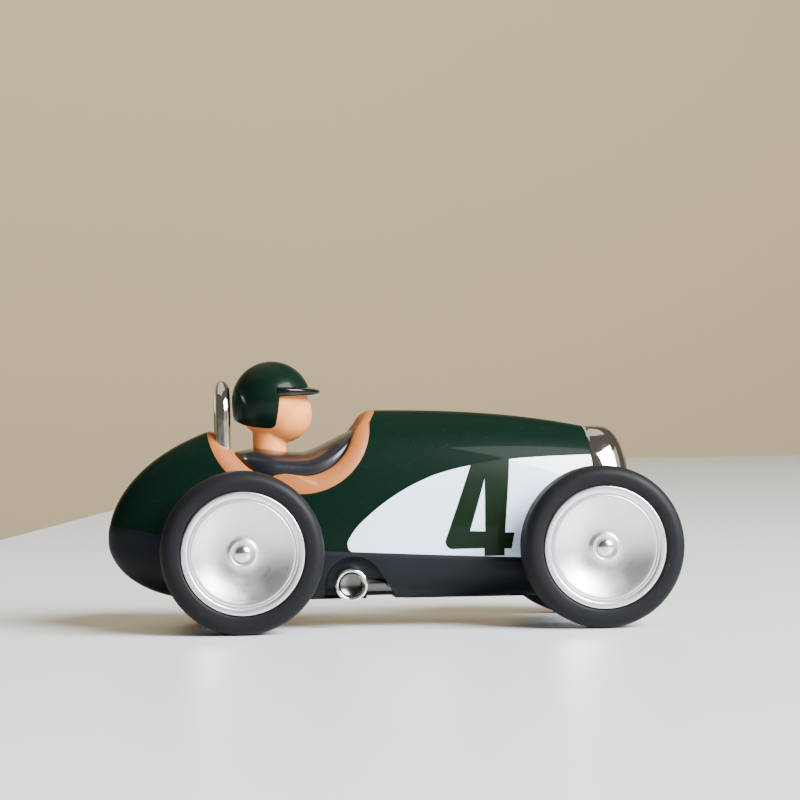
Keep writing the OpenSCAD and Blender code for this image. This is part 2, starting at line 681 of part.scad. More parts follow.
module case_outline(inset) {
    hull() {
        translate([rear_x, axle_z]) circle(r = 5.2 - inset);
        translate([idler_x, idler_z]) circle(r = 7.6 - inset);
        translate([spring_x, spring_z]) circle(r = 10.6 - inset);
    }
}
module motor_case(side) {
    mirrored(side) color("whitesmoke") difference() {
        union() {
            across(-case_y, -0.05) case_outline(0);
            for (p = motor_screw_places) bar(p[0], p[1], ear_r, -case_y, -0.05);
        }
        across(-case_y + case_wall, 1) case_outline(case_wall);
        bar(rear_x, axle_z, axle_r + 0.05, -20, 0);
        // the idler's pivot sits in a short slot, so it can climb out of mesh when the car outruns the spring
        bar(idler_x, idler_z, gear_pivot_r + 0.05, -20, 0);
        bar(idler_x + 0.5, idler_z + 0.45, gear_pivot_r + 0.05, -20, 0);
        bar(spring_x, spring_z, gear_pivot_r + 0.05, -20, 0);
        for (p = motor_screw_places) bar(p[0], p[1], 1.05, -20, 0);
    }
}
module motor_screws() {
    color("gray") for (p = motor_screw_places)
        translate([p[0], -case_y, p[1]]) rotate([-90, 0, 0]) self_tapping_screw(1, 18, 2);
}
module casing_screws() {
    color("gray") for (p = screw_places)
        translate([p[0], p[1], screw_seat_z(p)]) self_tapping_screw(screw_r, screw_length, screw_head_r);
}

// ---- Nodes --------------------------------------------------------------------------------------
function wants(name) = node == "all" || node == name;
if (wants("body_shell")) body_shell();
if (wants("lower_casing")) lower_casing();
if (wants("cockpit_trim")) cockpit_trim();
if (wants("cockpit_cover")) cockpit_cover();
if (wants("radiator_shell")) radiator_shell();
if (wants("radiator_grille")) radiator_grille();
if (wants("driver_head")) driver_head();
if (wants("helmet")) helmet();
if (wants("helmet_peak")) helmet_peak();
if (wants("head_screw")) head_screw();
if (wants("roll_hoop")) roll_hoop();
if (wants("exhaust_right")) exhaust(-1);
if (wants("exhaust_left")) exhaust(1);
if (wants("exhaust_cove_right")) exhaust_cove(-1);
if (wants("exhaust_cove_left")) exhaust_cove(1);
if (wants("front_axle")) axle(front_x);
if (wants("rear_axle")) axle(rear_x);
if (wants("front_bushes")) front_bushes();
if (wants("tyre_front_right")) tyre(front_x, -1);
if (wants("tyre_front_left")) tyre(front_x, 1);
if (wants("tyre_rear_right")) tyre(rear_x, -1);
if (wants("tyre_rear_left")) tyre(rear_x, 1);
if (wants("wheel_disc_front_right")) wheel_disc(front_x, -1);
if (wants("wheel_disc_front_left")) wheel_disc(front_x, 1);
if (wants("wheel_disc_rear_right")) wheel_disc(rear_x, -1);
if (wants("wheel_disc_rear_left")) wheel_disc(rear_x, 1);
if (wants("hub_cap_front_right")) hub_cap(front_x, -1);
if (wants("hub_cap_front_left")) hub_cap(front_x, 1);
if (wants("hub_cap_rear_right")) hub_cap(rear_x, -1);
if (wants("hub_cap_rear_left")) hub_cap(rear_x, 1);
if (wants("motor_case_right")) motor_case(-1);
if (wants("motor_case_left")) motor_case(1);
if (wants("motor_screws")) motor_screws();
if (wants("mainspring")) mainspring();
if (wants("spring_gear")) spring_gear();
if (wants("idler_gear")) idler_gear();
if (wants("axle_pinion")) axle_pinion();
if (wants("casing_screws")) casing_screws();
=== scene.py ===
"""Pull-back racing car: finished surfaces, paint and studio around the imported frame."""
import json
from math import asin, cos, degrees, exp, pi, radians, sin, sqrt

import bmesh
import bpy
from mathutils import Matrix, Vector


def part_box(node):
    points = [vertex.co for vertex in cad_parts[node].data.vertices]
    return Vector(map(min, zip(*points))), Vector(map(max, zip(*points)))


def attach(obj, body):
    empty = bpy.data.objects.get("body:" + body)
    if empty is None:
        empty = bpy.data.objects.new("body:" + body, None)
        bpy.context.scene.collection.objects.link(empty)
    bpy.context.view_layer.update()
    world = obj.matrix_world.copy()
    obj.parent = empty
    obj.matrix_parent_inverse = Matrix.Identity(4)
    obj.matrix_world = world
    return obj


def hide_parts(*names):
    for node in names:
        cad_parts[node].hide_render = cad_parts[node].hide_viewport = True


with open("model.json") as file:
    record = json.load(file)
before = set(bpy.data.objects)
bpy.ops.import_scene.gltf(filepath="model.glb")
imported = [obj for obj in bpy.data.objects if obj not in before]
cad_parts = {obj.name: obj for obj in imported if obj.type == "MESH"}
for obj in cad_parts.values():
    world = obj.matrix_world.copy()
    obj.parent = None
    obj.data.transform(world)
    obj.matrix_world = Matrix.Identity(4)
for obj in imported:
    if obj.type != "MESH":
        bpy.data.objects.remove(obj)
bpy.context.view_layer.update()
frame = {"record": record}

# ---- Sizes, in millimetres, in the frame's own axes ----
MM = 0.001


def joint_place(name):
    place = next(j["pos_m"] for j in frame["record"]["behaviour"]["joints"] if j["name"] == name)
    return Vector(place) / MM


def node_box(name):
    low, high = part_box(name)
    return Vector(low) / MM, Vector(high) / MM


REAR_X = joint_place("rear_wheels_roll").x
FRONT_X = joint_place("front_wheels_roll").x
AXLE_Z = joint_place("rear_wheels_roll").z
TYRE_R = (node_box("tyre_rear_right")[1].z - node_box("tyre_rear_right")[0].z) / 2
TYRE_OUT = -node_box("tyre_rear_right")[0].y
TYRE_W = TYRE_OUT + node_box("tyre_rear_right")[1].y
TAIL_X = node_box("lower_casing")[0].x
NOSE_X = FRONT_X
TIP_X = NOSE_X + 13.2
WIDEST_X = TAIL_X + 69.5
CROWN_X = TAIL_X + 67.5
KEEL_REAR_X = TAIL_X + 37.5
KEEL_FRONT_X = NOSE_X - 7
HALF_W = 19.5
NOSE_HALF_W = 14.3
CREST_Z = 60.9
BELT_Z = 25
FLOOR_Z = 8.1
BONNET_DROP = 5.5
UPPER_POWER = 2.4
LOWER_POWER = 3.6
CASING_PROUD = 0.5
NOSE_PROUD = 0.4
SCOOP_REAR_X = TAIL_X + 47.5
SCOOP_FRONT_X = TAIL_X + 54
SCOOP_Z = 57.5
SCOOP_R = 19.6
ARCH_X = TAIL_X + 68.2
ARCH_Z = 12.2
ARCH_R = 8.1
ARCH_LEAN = 33
ARCH_DEPTH = 8
TUNNEL_Z = 8.9
PAD = (4, 50, 5.2)
SCREWS = [(TAIL_X + 14.5, 0), (8, 0), (36, -8), (36, 8)]
SIDES = {"right": -1, "left": 1}
ENDS = {"front": FRONT_X, "rear": REAR_X}

# Powers of the body's outlines: how full each is at its start, and how blunt at its end.
TAIL_CREST = (2.35, 1.95)
TAIL_KEEL = (2.9, 1.8)
TAIL_PLAN = (2.3, 2.3)
TIP_CREST = (4, 2)
TIP_KEEL = (2.5, 2)
TIP_PLAN = (3, 2.2)
BONNET_POWER = 2.7
FLANK_POWER = 1.8


# ---- Body form ----
def bulge(u, p, q):
    """From 1 at u = 0 down to 0 at u = 1, full for a high p and blunt at its end for a high q."""
    return max(0.0, 1 - max(0.0, min(1.0, u)) ** p) ** (1 / q)


def top_z(x):
    if x < CROWN_X:
        return BELT_Z + (CREST_Z - BELT_Z) * bulge((CROWN_X - x) / (CROWN_X - TAIL_X), *TAIL_CREST)
    if x < NOSE_X:
        return CREST_Z - BONNET_DROP * ((x - CROWN_X) / (NOSE_X - CROWN_X)) ** BONNET_POWER
    return BELT_Z + (CREST_Z - BONNET_DROP - BELT_Z) * bulge((x - NOSE_X) / (TIP_X - NOSE_X), *TIP_CREST)


def bottom_z(x):
    if x < KEEL_REAR_X:
        return BELT_Z - (BELT_Z - FLOOR_Z) * bulge((KEEL_REAR_X - x) / (KEEL_REAR_X - TAIL_X), *TAIL_KEEL)
    if x < KEEL_FRONT_X:
        return FLOOR_Z
    return BELT_Z - (BELT_Z - FLOOR_Z) * bulge((x - KEEL_FRONT_X) / (TIP_X - KEEL_FRONT_X), *TIP_KEEL)


def half_w(x):
    if x < WIDEST_X:
        return HALF_W * bulge((WIDEST_X - x) / (WIDEST_X - TAIL_X), *TAIL_PLAN)
    if x < NOSE_X:
        return HALF_W - (HALF_W - NOSE_HALF_W) * ((x - WIDEST_X) / (NOSE_X - WIDEST_X)) ** FLANK_POWER
    return NOSE_HALF_W * bulge((x - NOSE_X) / (TIP_X - NOSE_X), *TIP_PLAN)


def parting_z(x):
    """Height of the seam between shell and casing: it falls towards the nose and curls up at the tail."""
    return 20.9 - 0.052 * x + 0.0011 * min(0, x + 15) ** 2


def nose_joint_x(z):
    """Where the shell ends and the chrome nose starts, on a line that leans back as it climbs."""
    return NOSE_X - 1 + 0.155 * (55 - z)


def section_point(x, angle, grow=0.0):
    """Point on the right half of the section at x. Angle 90 is the crest, 0 the belt and -90 the keel."""
    c = max(0.0, cos(radians(angle)))
    s = sin(radians(angle))
    if s >= 0:
        power, height = UPPER_POWER, top_z(x) - BELT_Z + grow
    else:
        power, height = LOWER_POWER, BELT_Z - bottom_z(x) + grow
    y = -(half_w(x) + grow) * c ** (2 / power)
    return Vector((x, y, BELT_Z + (1 if s >= 0 else -1) * height * abs(s) ** (2 / power)))


def section_angle(x, z, grow=0.0):
    """The angle at which the section at x passes height z."""
    if z >= BELT_Z:
        height = top_z(x) - BELT_Z + grow
        return 90.0 if z - BELT_Z >= height else degrees(asin(((z - BELT_Z) / height) ** (UPPER_POWER / 2)))
    height = BELT_Z - bottom_z(x) + grow
    return -90.0 if BELT_Z - z >= height else -degrees(asin(((BELT_Z - z) / height) ** (LOWER_POWER / 2)))


def surface_y(x, z, grow=0.0):
    """Distance of the outer surface from the centre plane."""
    return -section_point(x, section_angle(x, z, grow), grow).y


def surface_normal(p):
    """Outward normal of the upper body at a point on its right half."""
    def level(q):
        across = abs(q.y) / max(half_w(q.x), 0.1)
        upward = max(q.z - BELT_Z, 0) / (top_z(q.x) - BELT_Z)
        return across ** UPPER_POWER + upward ** UPPER_POWER
    step = 0.05
    shifts = [Vector((step, 0, 0)), Vector((0, step, 0)), Vector((0, 0, step))]
    flat_y = Vector((p.x, min(p.y, -1e-4), p.z))
    gradient = Vector([level(flat_y + d) - level(flat_y - d) for d in shifts])
    if p.y > -step:
        gradient.y = 0
    return gradient.normalized()


def solve(test, low, high):
    """The place between low and high where test changes from false to true."""
    for _ in range(50):
        middle = (low + high) / 2
        low, high = (low, middle) if test(middle) else (middle, high)
    return high


def eased(u):
    """Share u, packed towards both ends."""
    return (1 - cos(pi * u)) / 2


def spread(a, b, count, share=lambda s: s):
    """count + 1 values from a to b, evenly spaced unless share moves them."""
    return [a + (b - a) * share(i / count) for i in range(count + 1)]


# ---- Mesh helpers ----
WELD = 0.0005


def chain(bm, points, closed=False):
    """Edges through a row of points."""
    verts = [bm.verts.new(p) for p in points]
    pairs = list(zip(verts, verts[1:])) + ([(verts[-1], verts[0])] if closed else [])
    return verts, [bm.edges.new(pair) for pair in pairs]


def turned(profile, centre, steps):
    """A turned shape from (radius, place along Y) points, round an axis along Y through centre."""
    bm = bmesh.new()
    verts, edges = chain(bm, [centre + Vector((0, a, r)) for r, a in profile])
    bmesh.ops.spin(bm, geom=verts + edges, cent=centre, axis=(0, 1, 0), dvec=(0, 0, 0), angle=2 * pi, steps=steps,
                   use_merge=True, use_duplicate=False)
    bmesh.ops.remove_doubles(bm, verts=bm.verts, dist=WELD)
    return bm


def arc(cx, cy, r, start, end, count):
    return [(cx + r * cos(radians(a)), cy + r * sin(radians(a))) for a in spread(start, end, count)]


def mirrored_patch(across, along, point):
    """A grid on the right side, each vertex at point(u, v) with u and v from 0 to 1, and its mirror image."""
    bm = bmesh.new()
    for v in bmesh.ops.create_grid(bm, x_segments=across, y_segments=along, size=0.5)["verts"]:
        u, w = v.co.x + 0.5, v.co.y + 0.5
        v.co = point(min(max(u, 0.0), 1.0), min(max(w, 0.0), 1.0))
        if abs(v.co.y) < 0.01:
            v.co.y = 0
    bmesh.ops.mirror(bm, geom=bm.verts[:] + bm.edges[:] + bm.faces[:], matrix=Matrix.Identity(4), merge_dist=0.002,
                     axis="Y")
    bmesh.ops.remove_doubles(bm, verts=bm.verts, dist=0.002)
    return bm


def placed(name, data):
    """An object in the scene that shows data."""
    obj = bpy.data.objects.new(name, data)
    bpy.context.scene.collection.objects.link(obj)
    return obj


def temporary(bm):
    mesh = bpy.data.meshes.new("temporary")
    bmesh.ops.recalc_face_normals(bm, faces=bm.faces)
    bm.to_mesh(mesh)
    bm.free()
    return placed("temporary", mesh)


def with_modifiers(bm, recipe):
    """The shape after the modifiers that recipe gives the object it is passed. It may return a tool to be deleted."""
    obj = temporary(bm)
    tool = recipe(obj)
    bpy.context.view_layer.update()
    mesh = bpy.data.meshes.new_from_object(obj.evaluated_get(bpy.context.evaluated_depsgraph_get()))
    result = bmesh.new()
    result.from_mesh(mesh)
    for used in filter(None, (obj, tool)):
        bpy.data.objects.remove(used)
    return result


def add_wall(obj, thickness):
    """Gives a sheet a wall on its inner side."""
    wall = obj.modifiers.new("wall", "SOLIDIFY")
    wall.thickness = thickness
    wall.offset = -1


def carve(bm, cutter, operation="DIFFERENCE"):
    """The shape with another cut out of it, or joined to it."""
    def recipe(obj):
        tool = temporary(cutter)
        cut = obj.modifiers.new("cut", "BOOLEAN")
        cut.operation = operation
        cut.solver = "EXACT"
        cut.object = tool
        return tool
    return with_modifiers(bm, recipe)


def drawn(points, run):
    """An outline drawn along a run."""
    bm = bmesh.new()
    verts, _ = chain(bm, points, closed=True)
    out = bmesh.ops.extrude_face_region(bm, geom=[bm.faces.new(verts)])["geom"]
    bmesh.ops.translate(bm, verts=[g for g in out if isinstance(g, bmesh.types.BMVert)], vec=run)
    return bm


def prism(points, y0, y1):
    """An outline of (x, z) points drawn from y0 to y1."""
    return drawn([Vector((x, y0, z)) for x, z in points], (0, y1 - y0, 0))


def rod(start, end, radius, sides=32):
    """A closed cylinder between two points."""
    bm = bmesh.new()
    run = Vector(end) - Vector(start)
    turn = run.to_track_quat("Z", "Y").to_matrix().to_4x4()
    place = Matrix.Translation((Vector(start) + Vector(end)) / 2) @ turn
    bmesh.ops.create_cone(bm, cap_ends=True, segments=sides, radius1=radius, radius2=radius, depth=run.length,
                          matrix=place)
    return bm


def sweep(path, radius, sides=24, cap=True):
    """A round tube along a list of points."""
    bm = bmesh.new()
    rings = []
    for i, p in enumerate(path):
        ahead = path[min(i + 1, len(path) - 1)] - path[max(i - 1, 0)]
        turn = ahead.to_track_quat("Z", "Y").to_matrix().to_4x4()
        ring = bmesh.ops.create_circle(bm, cap_ends=False, segments=sides, radius=radius,
                                       matrix=Matrix.Translation(p) @ turn)["verts"]
        rings.append([e for e in bm.edges if e.verts[0] in ring and e.verts[1] in ring])
    for a, b in zip(rings, rings[1:]):
        bmesh.ops.bridge_loops(bm, edges=a + b)
    if cap:
        bmesh.ops.holes_fill(bm, edges=[e for e in bm.edges if e.is_boundary], sides=sides)
    return bm


def joined(*parts):
    """Several shapes as one."""
    bm = bmesh.new()
    for part in parts:
        mesh = bpy.data.meshes.new("part")
        part.to_mesh(mesh)
        part.free()
        bm.from_mesh(mesh)
        bpy.data.meshes.remove(mesh)
    return bm


def bevelled(bm, width, angle):
    """Rounds the edges that are sharper than angle."""
    sharp = [e for e in bm.edges if len(e.link_faces) == 2 and e.calc_face_angle() > radians(angle)]
    bmesh.ops.bevel(bm, geom=sharp, offset=width, offset_type="OFFSET", affect="EDGES", segments=2, profile=0.5,
                    material=-1, clamp_overlap=True)


def piece(name, bm, material, nodes=(), body="car", sharp=38, thickness=0.0, side=-1):
    """Makes a finished object out of a shape in millimetres. Side 1 mirrors a shape that is made for the right."""
    if side > 0:
        bmesh.ops.scale(bm, verts=bm.verts, vec=(1, -1, 1))
    bmesh.ops.remove_doubles(bm, verts=bm.verts, dist=WELD)
    bmesh.ops.recalc_face_normals(bm, faces=bm.faces)
    bmesh.ops.scale(bm, verts=bm.verts, vec=(MM, MM, MM))
    mesh = bpy.data.meshes.new(name)
    bm.to_mesh(mesh)
    bm.free()
    mesh.materials.append(material)
    mesh.polygons.foreach_set("use_smooth", [True] * len(mesh.polygons))
    mesh.set_sharp_from_angle(angle=radians(sharp))
    obj = placed(name, mesh)
    if thickness:
        add_wall(obj, thickness * MM)
    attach(obj, body)
    if nodes:
        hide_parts(*nodes)


# ---- Effects shared by several finishes ----
class Nodes:
    """A short way to add nodes and links to a node tree."""

    def __init__(self, tree):
        self.tree = tree

    def add(self, kind, **settings):
        node = self.tree.nodes.new("ShaderNode" + kind)
        values = settings.pop("values", {})
        for key, value in settings.items():
            setattr(node, key, value)
        for key, value in values.items():
            if isinstance(value, bpy.types.NodeSocket):
                self.tree.links.new(value, node.inputs[key])
            else:
                node.inputs[key].default_value = value
        return node

    def link(self, out, into):
        self.tree.links.new(out, into)

    def math(self, operation, a, b=0.0, clamp=False):
        return self.add("Math", operation=operation, use_clamp=clamp, values={0: a, 1: b}).outputs[0]

    def times(self, a, b):
        return self.math("MULTIPLY", a, b)

    def plus(self, a, b, clamp=False):
        return self.math("ADD", a, b, clamp)

    def noise(self, vector, scale, detail=3.0, roughness=0.5):
        values = {"Vector": vector, "Scale": scale, "Detail": detail, "Roughness": roughness}
        return self.add("TexNoise", values=values).outputs["Fac"]

    def remap(self, value, low, high, out_low=0.0, out_high=1.0):
        values = {0: value, 1: low, 2: high, 3: out_low, 4: out_high}
        return self.add("MapRange", values=values).outputs[0]

    def mix(self, factor, a, b):
        return self.add("Mix", data_type="RGBA", values={0: factor, 6: a, 7: b}).outputs[2]


def effect(name, inputs, outputs, build):
    """A node group. inputs and outputs map a socket's name to its kind, and a number is a float input's default."""
    tree = bpy.data.node_groups.new(name, "ShaderNodeTree")
    for socket, given in inputs.items():
        kind = given if isinstance(given, str) else FLOAT
        made = tree.interface.new_socket(name=socket, in_out="INPUT", socket_type=kind)
        if kind == FLOAT:
            made.default_value = given
    for socket, kind in outputs.items():
        tree.interface.new_socket(name=socket, in_out="OUTPUT", socket_type=kind)
    group_in = tree.nodes.new("NodeGroupInput")
    group_out = tree.nodes.new("NodeGroupOutput")
    for socket, value in build(Nodes(tree), group_in.outputs).items():
        tree.links.new(value, group_out.inputs[socket])
    return tree


FLOAT, COLOR, VECTOR = "NodeSocketFloat", "NodeSocketColor", "NodeSocketVector"


def build_handled(n, given):
    """Slow colour drift, faint smears and dust, as on a toy that has been handled."""
    place = given["Place"]
    drift = n.remap(n.noise(place, 45.0, 2.0), 0.3, 0.7)
    smear = n.remap(n.noise(place, 160.0, 4.0, 0.62), 0.45, 0.75)
    dust = n.remap(n.noise(place, 1600.0, 2.0), 0.68, 0.76)
    shade = n.mix(n.times(drift, given["Drift"]), given["Colour"], given["Second colour"])
    dusty = n.mix(n.times(dust, given["Dust"]), shade, (0.45, 0.44, 0.42, 1))
    rough = n.plus(given["Roughness"], n.times(smear, given["Smears"]))
    return {"Colour": dusty, "Roughness": n.plus(rough, n.times(dust, given["Dust"]), clamp=True)}


def build_grain(n, given):
    """Fine moulded or sprayed grain as a height."""
    fine = n.noise(given["Place"], given["Scale"], 4.0, 0.6)
    broad = n.noise(given["Place"], n.times(given["Scale"], 0.13), 2.0, 0.5)
    return {"Height": n.plus(n.times(fine, given["Fine"]),
                             n.times(broad, given["Broad"]))}


def build_turned(n, given):
    """Rings left by spinning or turning about the Y axis through the pattern's origin."""
    parts = n.add("SeparateXYZ", values={0: given["Place"]}).outputs
    radius = n.math("SQRT", n.plus(n.times(parts[0], parts[0]),
                                   n.times(parts[2], parts[2])))
    ringed = n.add("CombineXYZ", values={0: radius, 1: n.times(parts[1], 0.3)}).outputs[0]
    rings = n.noise(ringed, given["Scale"], 4.0, 0.7)
    worn = n.noise(given["Place"], 220.0, 4.0, 0.6)
    return {"Height": rings, "Rings": n.remap(rings, 0.3, 0.7), "Wear": n.remap(worn, 0.42, 0.72), "Radius": radius}


HANDLED = effect("handled", {"Place": VECTOR, "Colour": COLOR, "Second colour": COLOR,
                             "Drift": 0.5,
                             "Dust": 0.1, "Smears": 0.1, "Roughness": 0.3},
                 {"Colour": COLOR, "Roughness": FLOAT}, build_handled)
GRAIN = effect("grain", {"Place": VECTOR, "Scale": 900.0, "Fine": 1.0,
                         "Broad": 0.0},
               {"Height": FLOAT}, build_grain)
TURNED = effect("turned", {"Place": VECTOR, "Scale": 2500.0},
                {"Height": FLOAT, "Rings": FLOAT, "Wear": FLOAT, "Radius": FLOAT}, build_turned)


def finish(name):
    """An empty material: its node helper, its surface shader and the pattern place in the piece's own axes."""
    material = bpy.data.materials.new(name)
    material.use_nodes = True
    nodes = Nodes(material.node_tree)
    shader = material.node_tree.nodes["Principled BSDF"]
    place = nodes.add("TexCoord").outputs["Object"]
    return material, nodes, shader, place


def group(nodes, tree, **values):
    node = nodes.add("Group", node_tree=tree)
    for key, value in values.items():
        socket = node.inputs[key.replace("_", " ")]
        if isinstance(value, bpy.types.NodeSocket):
            nodes.link(value, socket)
        else:
            socket.default_value = value
    return node.outputs


def bump(nodes, shader, height, strength, distance):
    made = nodes.add("Bump", values={"Strength": strength, "Distance": distance, "Height": height})
    nodes.link(made.outputs[0], shader.inputs["Normal"])


def plastic(name, colour, second, roughness, coat=0.0, coat_roughness=0.05, drift=0.5, dust=0.06, smears=0.06,
            grain=900.0,
            fine=1.0, broad=0.0, depth=1e-5, strength=0.25, metallic=0.0, specular=0.5):
    """Moulded, sprayed or plated finish with handling marks."""
    material, nodes, shader, place = finish(name)
    marks = group(nodes, HANDLED, Place=place, Colour=(*colour, 1), Second_colour=(*second, 1), Drift=drift, Dust=dust,
                  Smears=smears, Roughness=roughness)
    nodes.link(marks["Colour"], shader.inputs["Base Color"])
    nodes.link(marks["Roughness"], shader.inputs["Roughness"])
    shader.inputs["Metallic"].default_value = metallic
    shader.inputs["Coat Weight"].default_value = coat
    shader.inputs["Coat Roughness"].default_value = coat_roughness
    shader.inputs["Specular IOR Level"].default_value = specular
    height = group(nodes, GRAIN, Place=place, Scale=grain, Fine=fine, Broad=broad)["Height"]
    bump(nodes, shader, height, strength, depth)
    return material


def axle_rings(nodes, place, x, scale):
    """Rings about the axle at x."""
    centred = nodes.add("Mapping", values={"Vector": place, "Location": (-x * MM, 0, -AXLE_Z * MM)}).outputs[0]
    return group(nodes, TURNED, Place=centred, Scale=scale)


def turned_metal(name, x, colour, roughness, scale=2600.0, strength=0.3):
    """Spun metal with fine rings about the axle at x."""
    material, nodes, shader, place = finish(name)
    rings = axle_rings(nodes, place, x, scale)
    worn = nodes.mix(nodes.times(rings["Wear"], 0.25), (*colour, 1), (*[c * 0.82 for c in colour], 1))
    nodes.link(nodes.mix(nodes.times(rings["Rings"], 0.12), worn, (0.9, 0.91, 0.93, 1)),
               shader.inputs["Base Color"])
    rough = nodes.plus(nodes.times(rings["Wear"], 0.06),
                       nodes.times(rings["Rings"], 0.05))
    nodes.link(nodes.plus(rough, roughness), shader.inputs["Roughness"])
    shader.inputs["Metallic"].default_value = 1.0
    bump(nodes, shader, rings["Height"], strength, 1.2e-5)
    return material


def rubber(name, x):
    """Smooth satin rubber, a little dusty and scuffed on the tread."""
    material, nodes, shader, place = finish(name)
    rings = axle_rings(nodes, place, x, 900.0)
    tread = nodes.remap(rings["Radius"], (TYRE_R - 1.6) * MM, (TYRE_R - 0.1) * MM)
    marks = group(nodes, HANDLED, Place=place, Colour=(0.0042, 0.0047, 0.0058, 1),
                  Second_colour=(0.006, 0.0067, 0.0079, 1), Drift=0.8,
                  Dust=0.04, Smears=0.1, Roughness=0.5)
    scuff = nodes.times(tread, nodes.remap(nodes.noise(place, 420.0, 5.0, 0.7), 0.4, 0.7, 0.1, 0.7))
    nodes.link(nodes.mix(scuff, marks["Colour"], (0.0125, 0.013, 0.014, 1)), shader.inputs["Base Color"])
    nodes.link(nodes.plus(marks["Roughness"], nodes.times(scuff, 0.2), clamp=True),
               shader.inputs["Roughness"])
    shader.inputs["Specular IOR Level"].default_value = 0.13
    height = group(nodes, GRAIN, Place=place, Scale=1500.0, Fine=1.0, Broad=0.6)["Height"]
    bump(nodes, shader, height, 0.3, 3e-5)
    return material


GREEN = (0.0024, 0.0092, 0.0055)
GREEN_DEEP = (0.0021, 0.0084, 0.0047)
PAINT_GREEN = plastic("green_lacquer", GREEN, GREEN_DEEP, 0.32, coat=0.03, coat_roughness=0.04, specular=0.02,
                      dust=0.03, smears=0.04, grain=260.0, broad=0.5, depth=2e-5, strength=0.12)
HELMET_GREEN = plastic("helmet_green", GREEN, GREEN_DEEP, 0.3, coat=0.07, specular=0.06, coat_roughness=0.02,
                       dust=0.02, smears=0.03, grain=300.0, strength=0.1)
PANEL_WHITE = plastic("panel_white", (0.66, 0.79, 0.96), (0.64, 0.77, 0.94), 0.3, coat=1.0, coat_roughness=0.03,
                      dust=0.03, smears=0.04, grain=260.0, broad=0.5, depth=2e-5, strength=0.1, specular=0.35)
NUMBER_GREEN = plastic("number_green", (0.0034, 0.0104, 0.0038), (0.003, 0.0095, 0.0034), 0.32, coat=0.1,
                       coat_roughness=0.03, dust=0.03, grain=260.0, depth=2e-5, strength=0.1, specular=0.06)
CHARCOAL = plastic("casing_charcoal", (0.0058, 0.0075, 0.0092), (0.0068, 0.0086, 0.0104), 0.42, specular=0.11,
                   dust=0.03, smears=0.08, grain=1400.0, depth=3e-5, strength=0.3)
TAN = plastic("tan_trim", (0.33, 0.103, 0.021), (0.31, 0.095, 0.019), 0.46, dust=0.04, smears=0.08, grain=1100.0,
              broad=0.5, depth=3e-5, strength=0.22, specular=0.4)
SKIN = plastic("skin", (0.76, 0.27, 0.072), (0.73, 0.255, 0.066), 0.45, dust=0.02, depth=2e-5, strength=0.12,
               specular=0.4)
SEAT_BLACK = plastic("cover_black", (0.006, 0.008, 0.0115), (0.007, 0.009, 0.0125), 0.3, specular=0.3, coat=0.3,
                     coat_roughness=0.12, dust=0.05, smears=0.08, grain=700.0, depth=2e-5, strength=0.15)
RECESS_BLACK = plastic("recess_black", (0.0015, 0.0015, 0.0018), (0.002, 0.002, 0.0023), 0.22, coat=0.1, specular=0.06,
                       coat_roughness=0.04, dust=0.01)
GLOSS_BLACK = plastic("gloss_black", (0.003, 0.003, 0.0035), (0.004, 0.004, 0.0045), 0.2, coat=0.45, specular=0.15,
                      coat_roughness=0.03, dust=0.03, grain=500.0, strength=0.1)
CHROME = plastic("chrome", (0.86, 0.85, 0.83), (0.82, 0.81, 0.79), 0.045, dust=0.02, grain=300.0, depth=8e-6,
                 strength=0.12, metallic=1.0)
# Painted shade: bright chrome darkened so the exhaust hollows and the tubes look shaded inside their recesses.
SHADED_CHROME = plastic("shaded_chrome", (0.12, 0.117, 0.11), (0.10, 0.098, 0.092), 0.18, dust=0.03, smears=0.1,
                        grain=300.0, metallic=1.0)
DARK_CHROME = plastic("grille_chrome", (0.7, 0.69, 0.67), (0.6, 0.6, 0.58), 0.12, dust=0.05, smears=0.1, grain=500.0,
                      metallic=1.0)
GRILLE_BACK = plastic("grille_back", (0.02, 0.02, 0.022), (0.03, 0.03, 0.03), 0.5, dust=0.15, grain=1200.0,
                      depth=3e-5)
ZINC = plastic("zinc", (0.55, 0.56, 0.58), (0.5, 0.5, 0.48), 0.3, dust=0.05, smears=0.15, grain=1500.0, metallic=1.0)
STEEL = plastic("steel", (0.56, 0.56, 0.57), (0.5, 0.5, 0.51), 0.22, dust=0.02, smears=0.12, grain=1800.0,
                metallic=1.0)
SPRING_STEEL = plastic("spring_steel", (0.3, 0.33, 0.38), (0.26, 0.27, 0.3), 0.28, smears=0.12, grain=1200.0,
                       metallic=1.0)
NYLON = plastic("white_nylon", (0.72, 0.72, 0.68), (0.66, 0.65, 0.6), 0.45, dust=0.05, grain=1000.0)
ACETAL = plastic("acetal", (0.62, 0.57, 0.44), (0.56, 0.5, 0.38), 0.4, dust=0.05, grain=1000.0)
SILVER = {end: turned_metal(f"spun_silver_{end}", x, (0.80, 0.81, 0.83), 0.26) for end, x in ENDS.items()}
BRIGHT = {end: turned_metal(f"bright_cap_{end}", x, (0.82, 0.82, 0.84), 0.16, 3200.0, 0.2) for end, x in ENDS.items()}
RUBBER = {end: rubber(f"rubber_{end}", x) for end, x in ENDS.items()}


# ---- Green shell ----
def scoop_path(count):
    """The cockpit opening's edge seen from the side, from the rear crest down and forward up to the front crest."""
    def under_crest(a):
        x = SCOOP_REAR_X + SCOOP_R * cos(radians(a))
        return SCOOP_Z + SCOOP_R * sin(radians(a)) < top_z(x)

    top_front = Vector((SCOOP_FRONT_X + SCOOP_R + 0.65 * (CREST_Z - SCOOP_Z), CREST_Z))
    rear = arc(SCOOP_REAR_X, SCOOP_Z, SCOOP_R, solve(under_crest, 180, 240), 270, count)
    front = arc(SCOOP_FRONT_X, SCOOP_Z, SCOOP_R, 270, 360, count)
    climb = [Vector((SCOOP_FRONT_X + SCOOP_R, SCOOP_Z)).lerp(top_front, s) for s in spread(0, 1, count // 3)]
    return [Vector(p) for p in rear + front] + climb[1:]


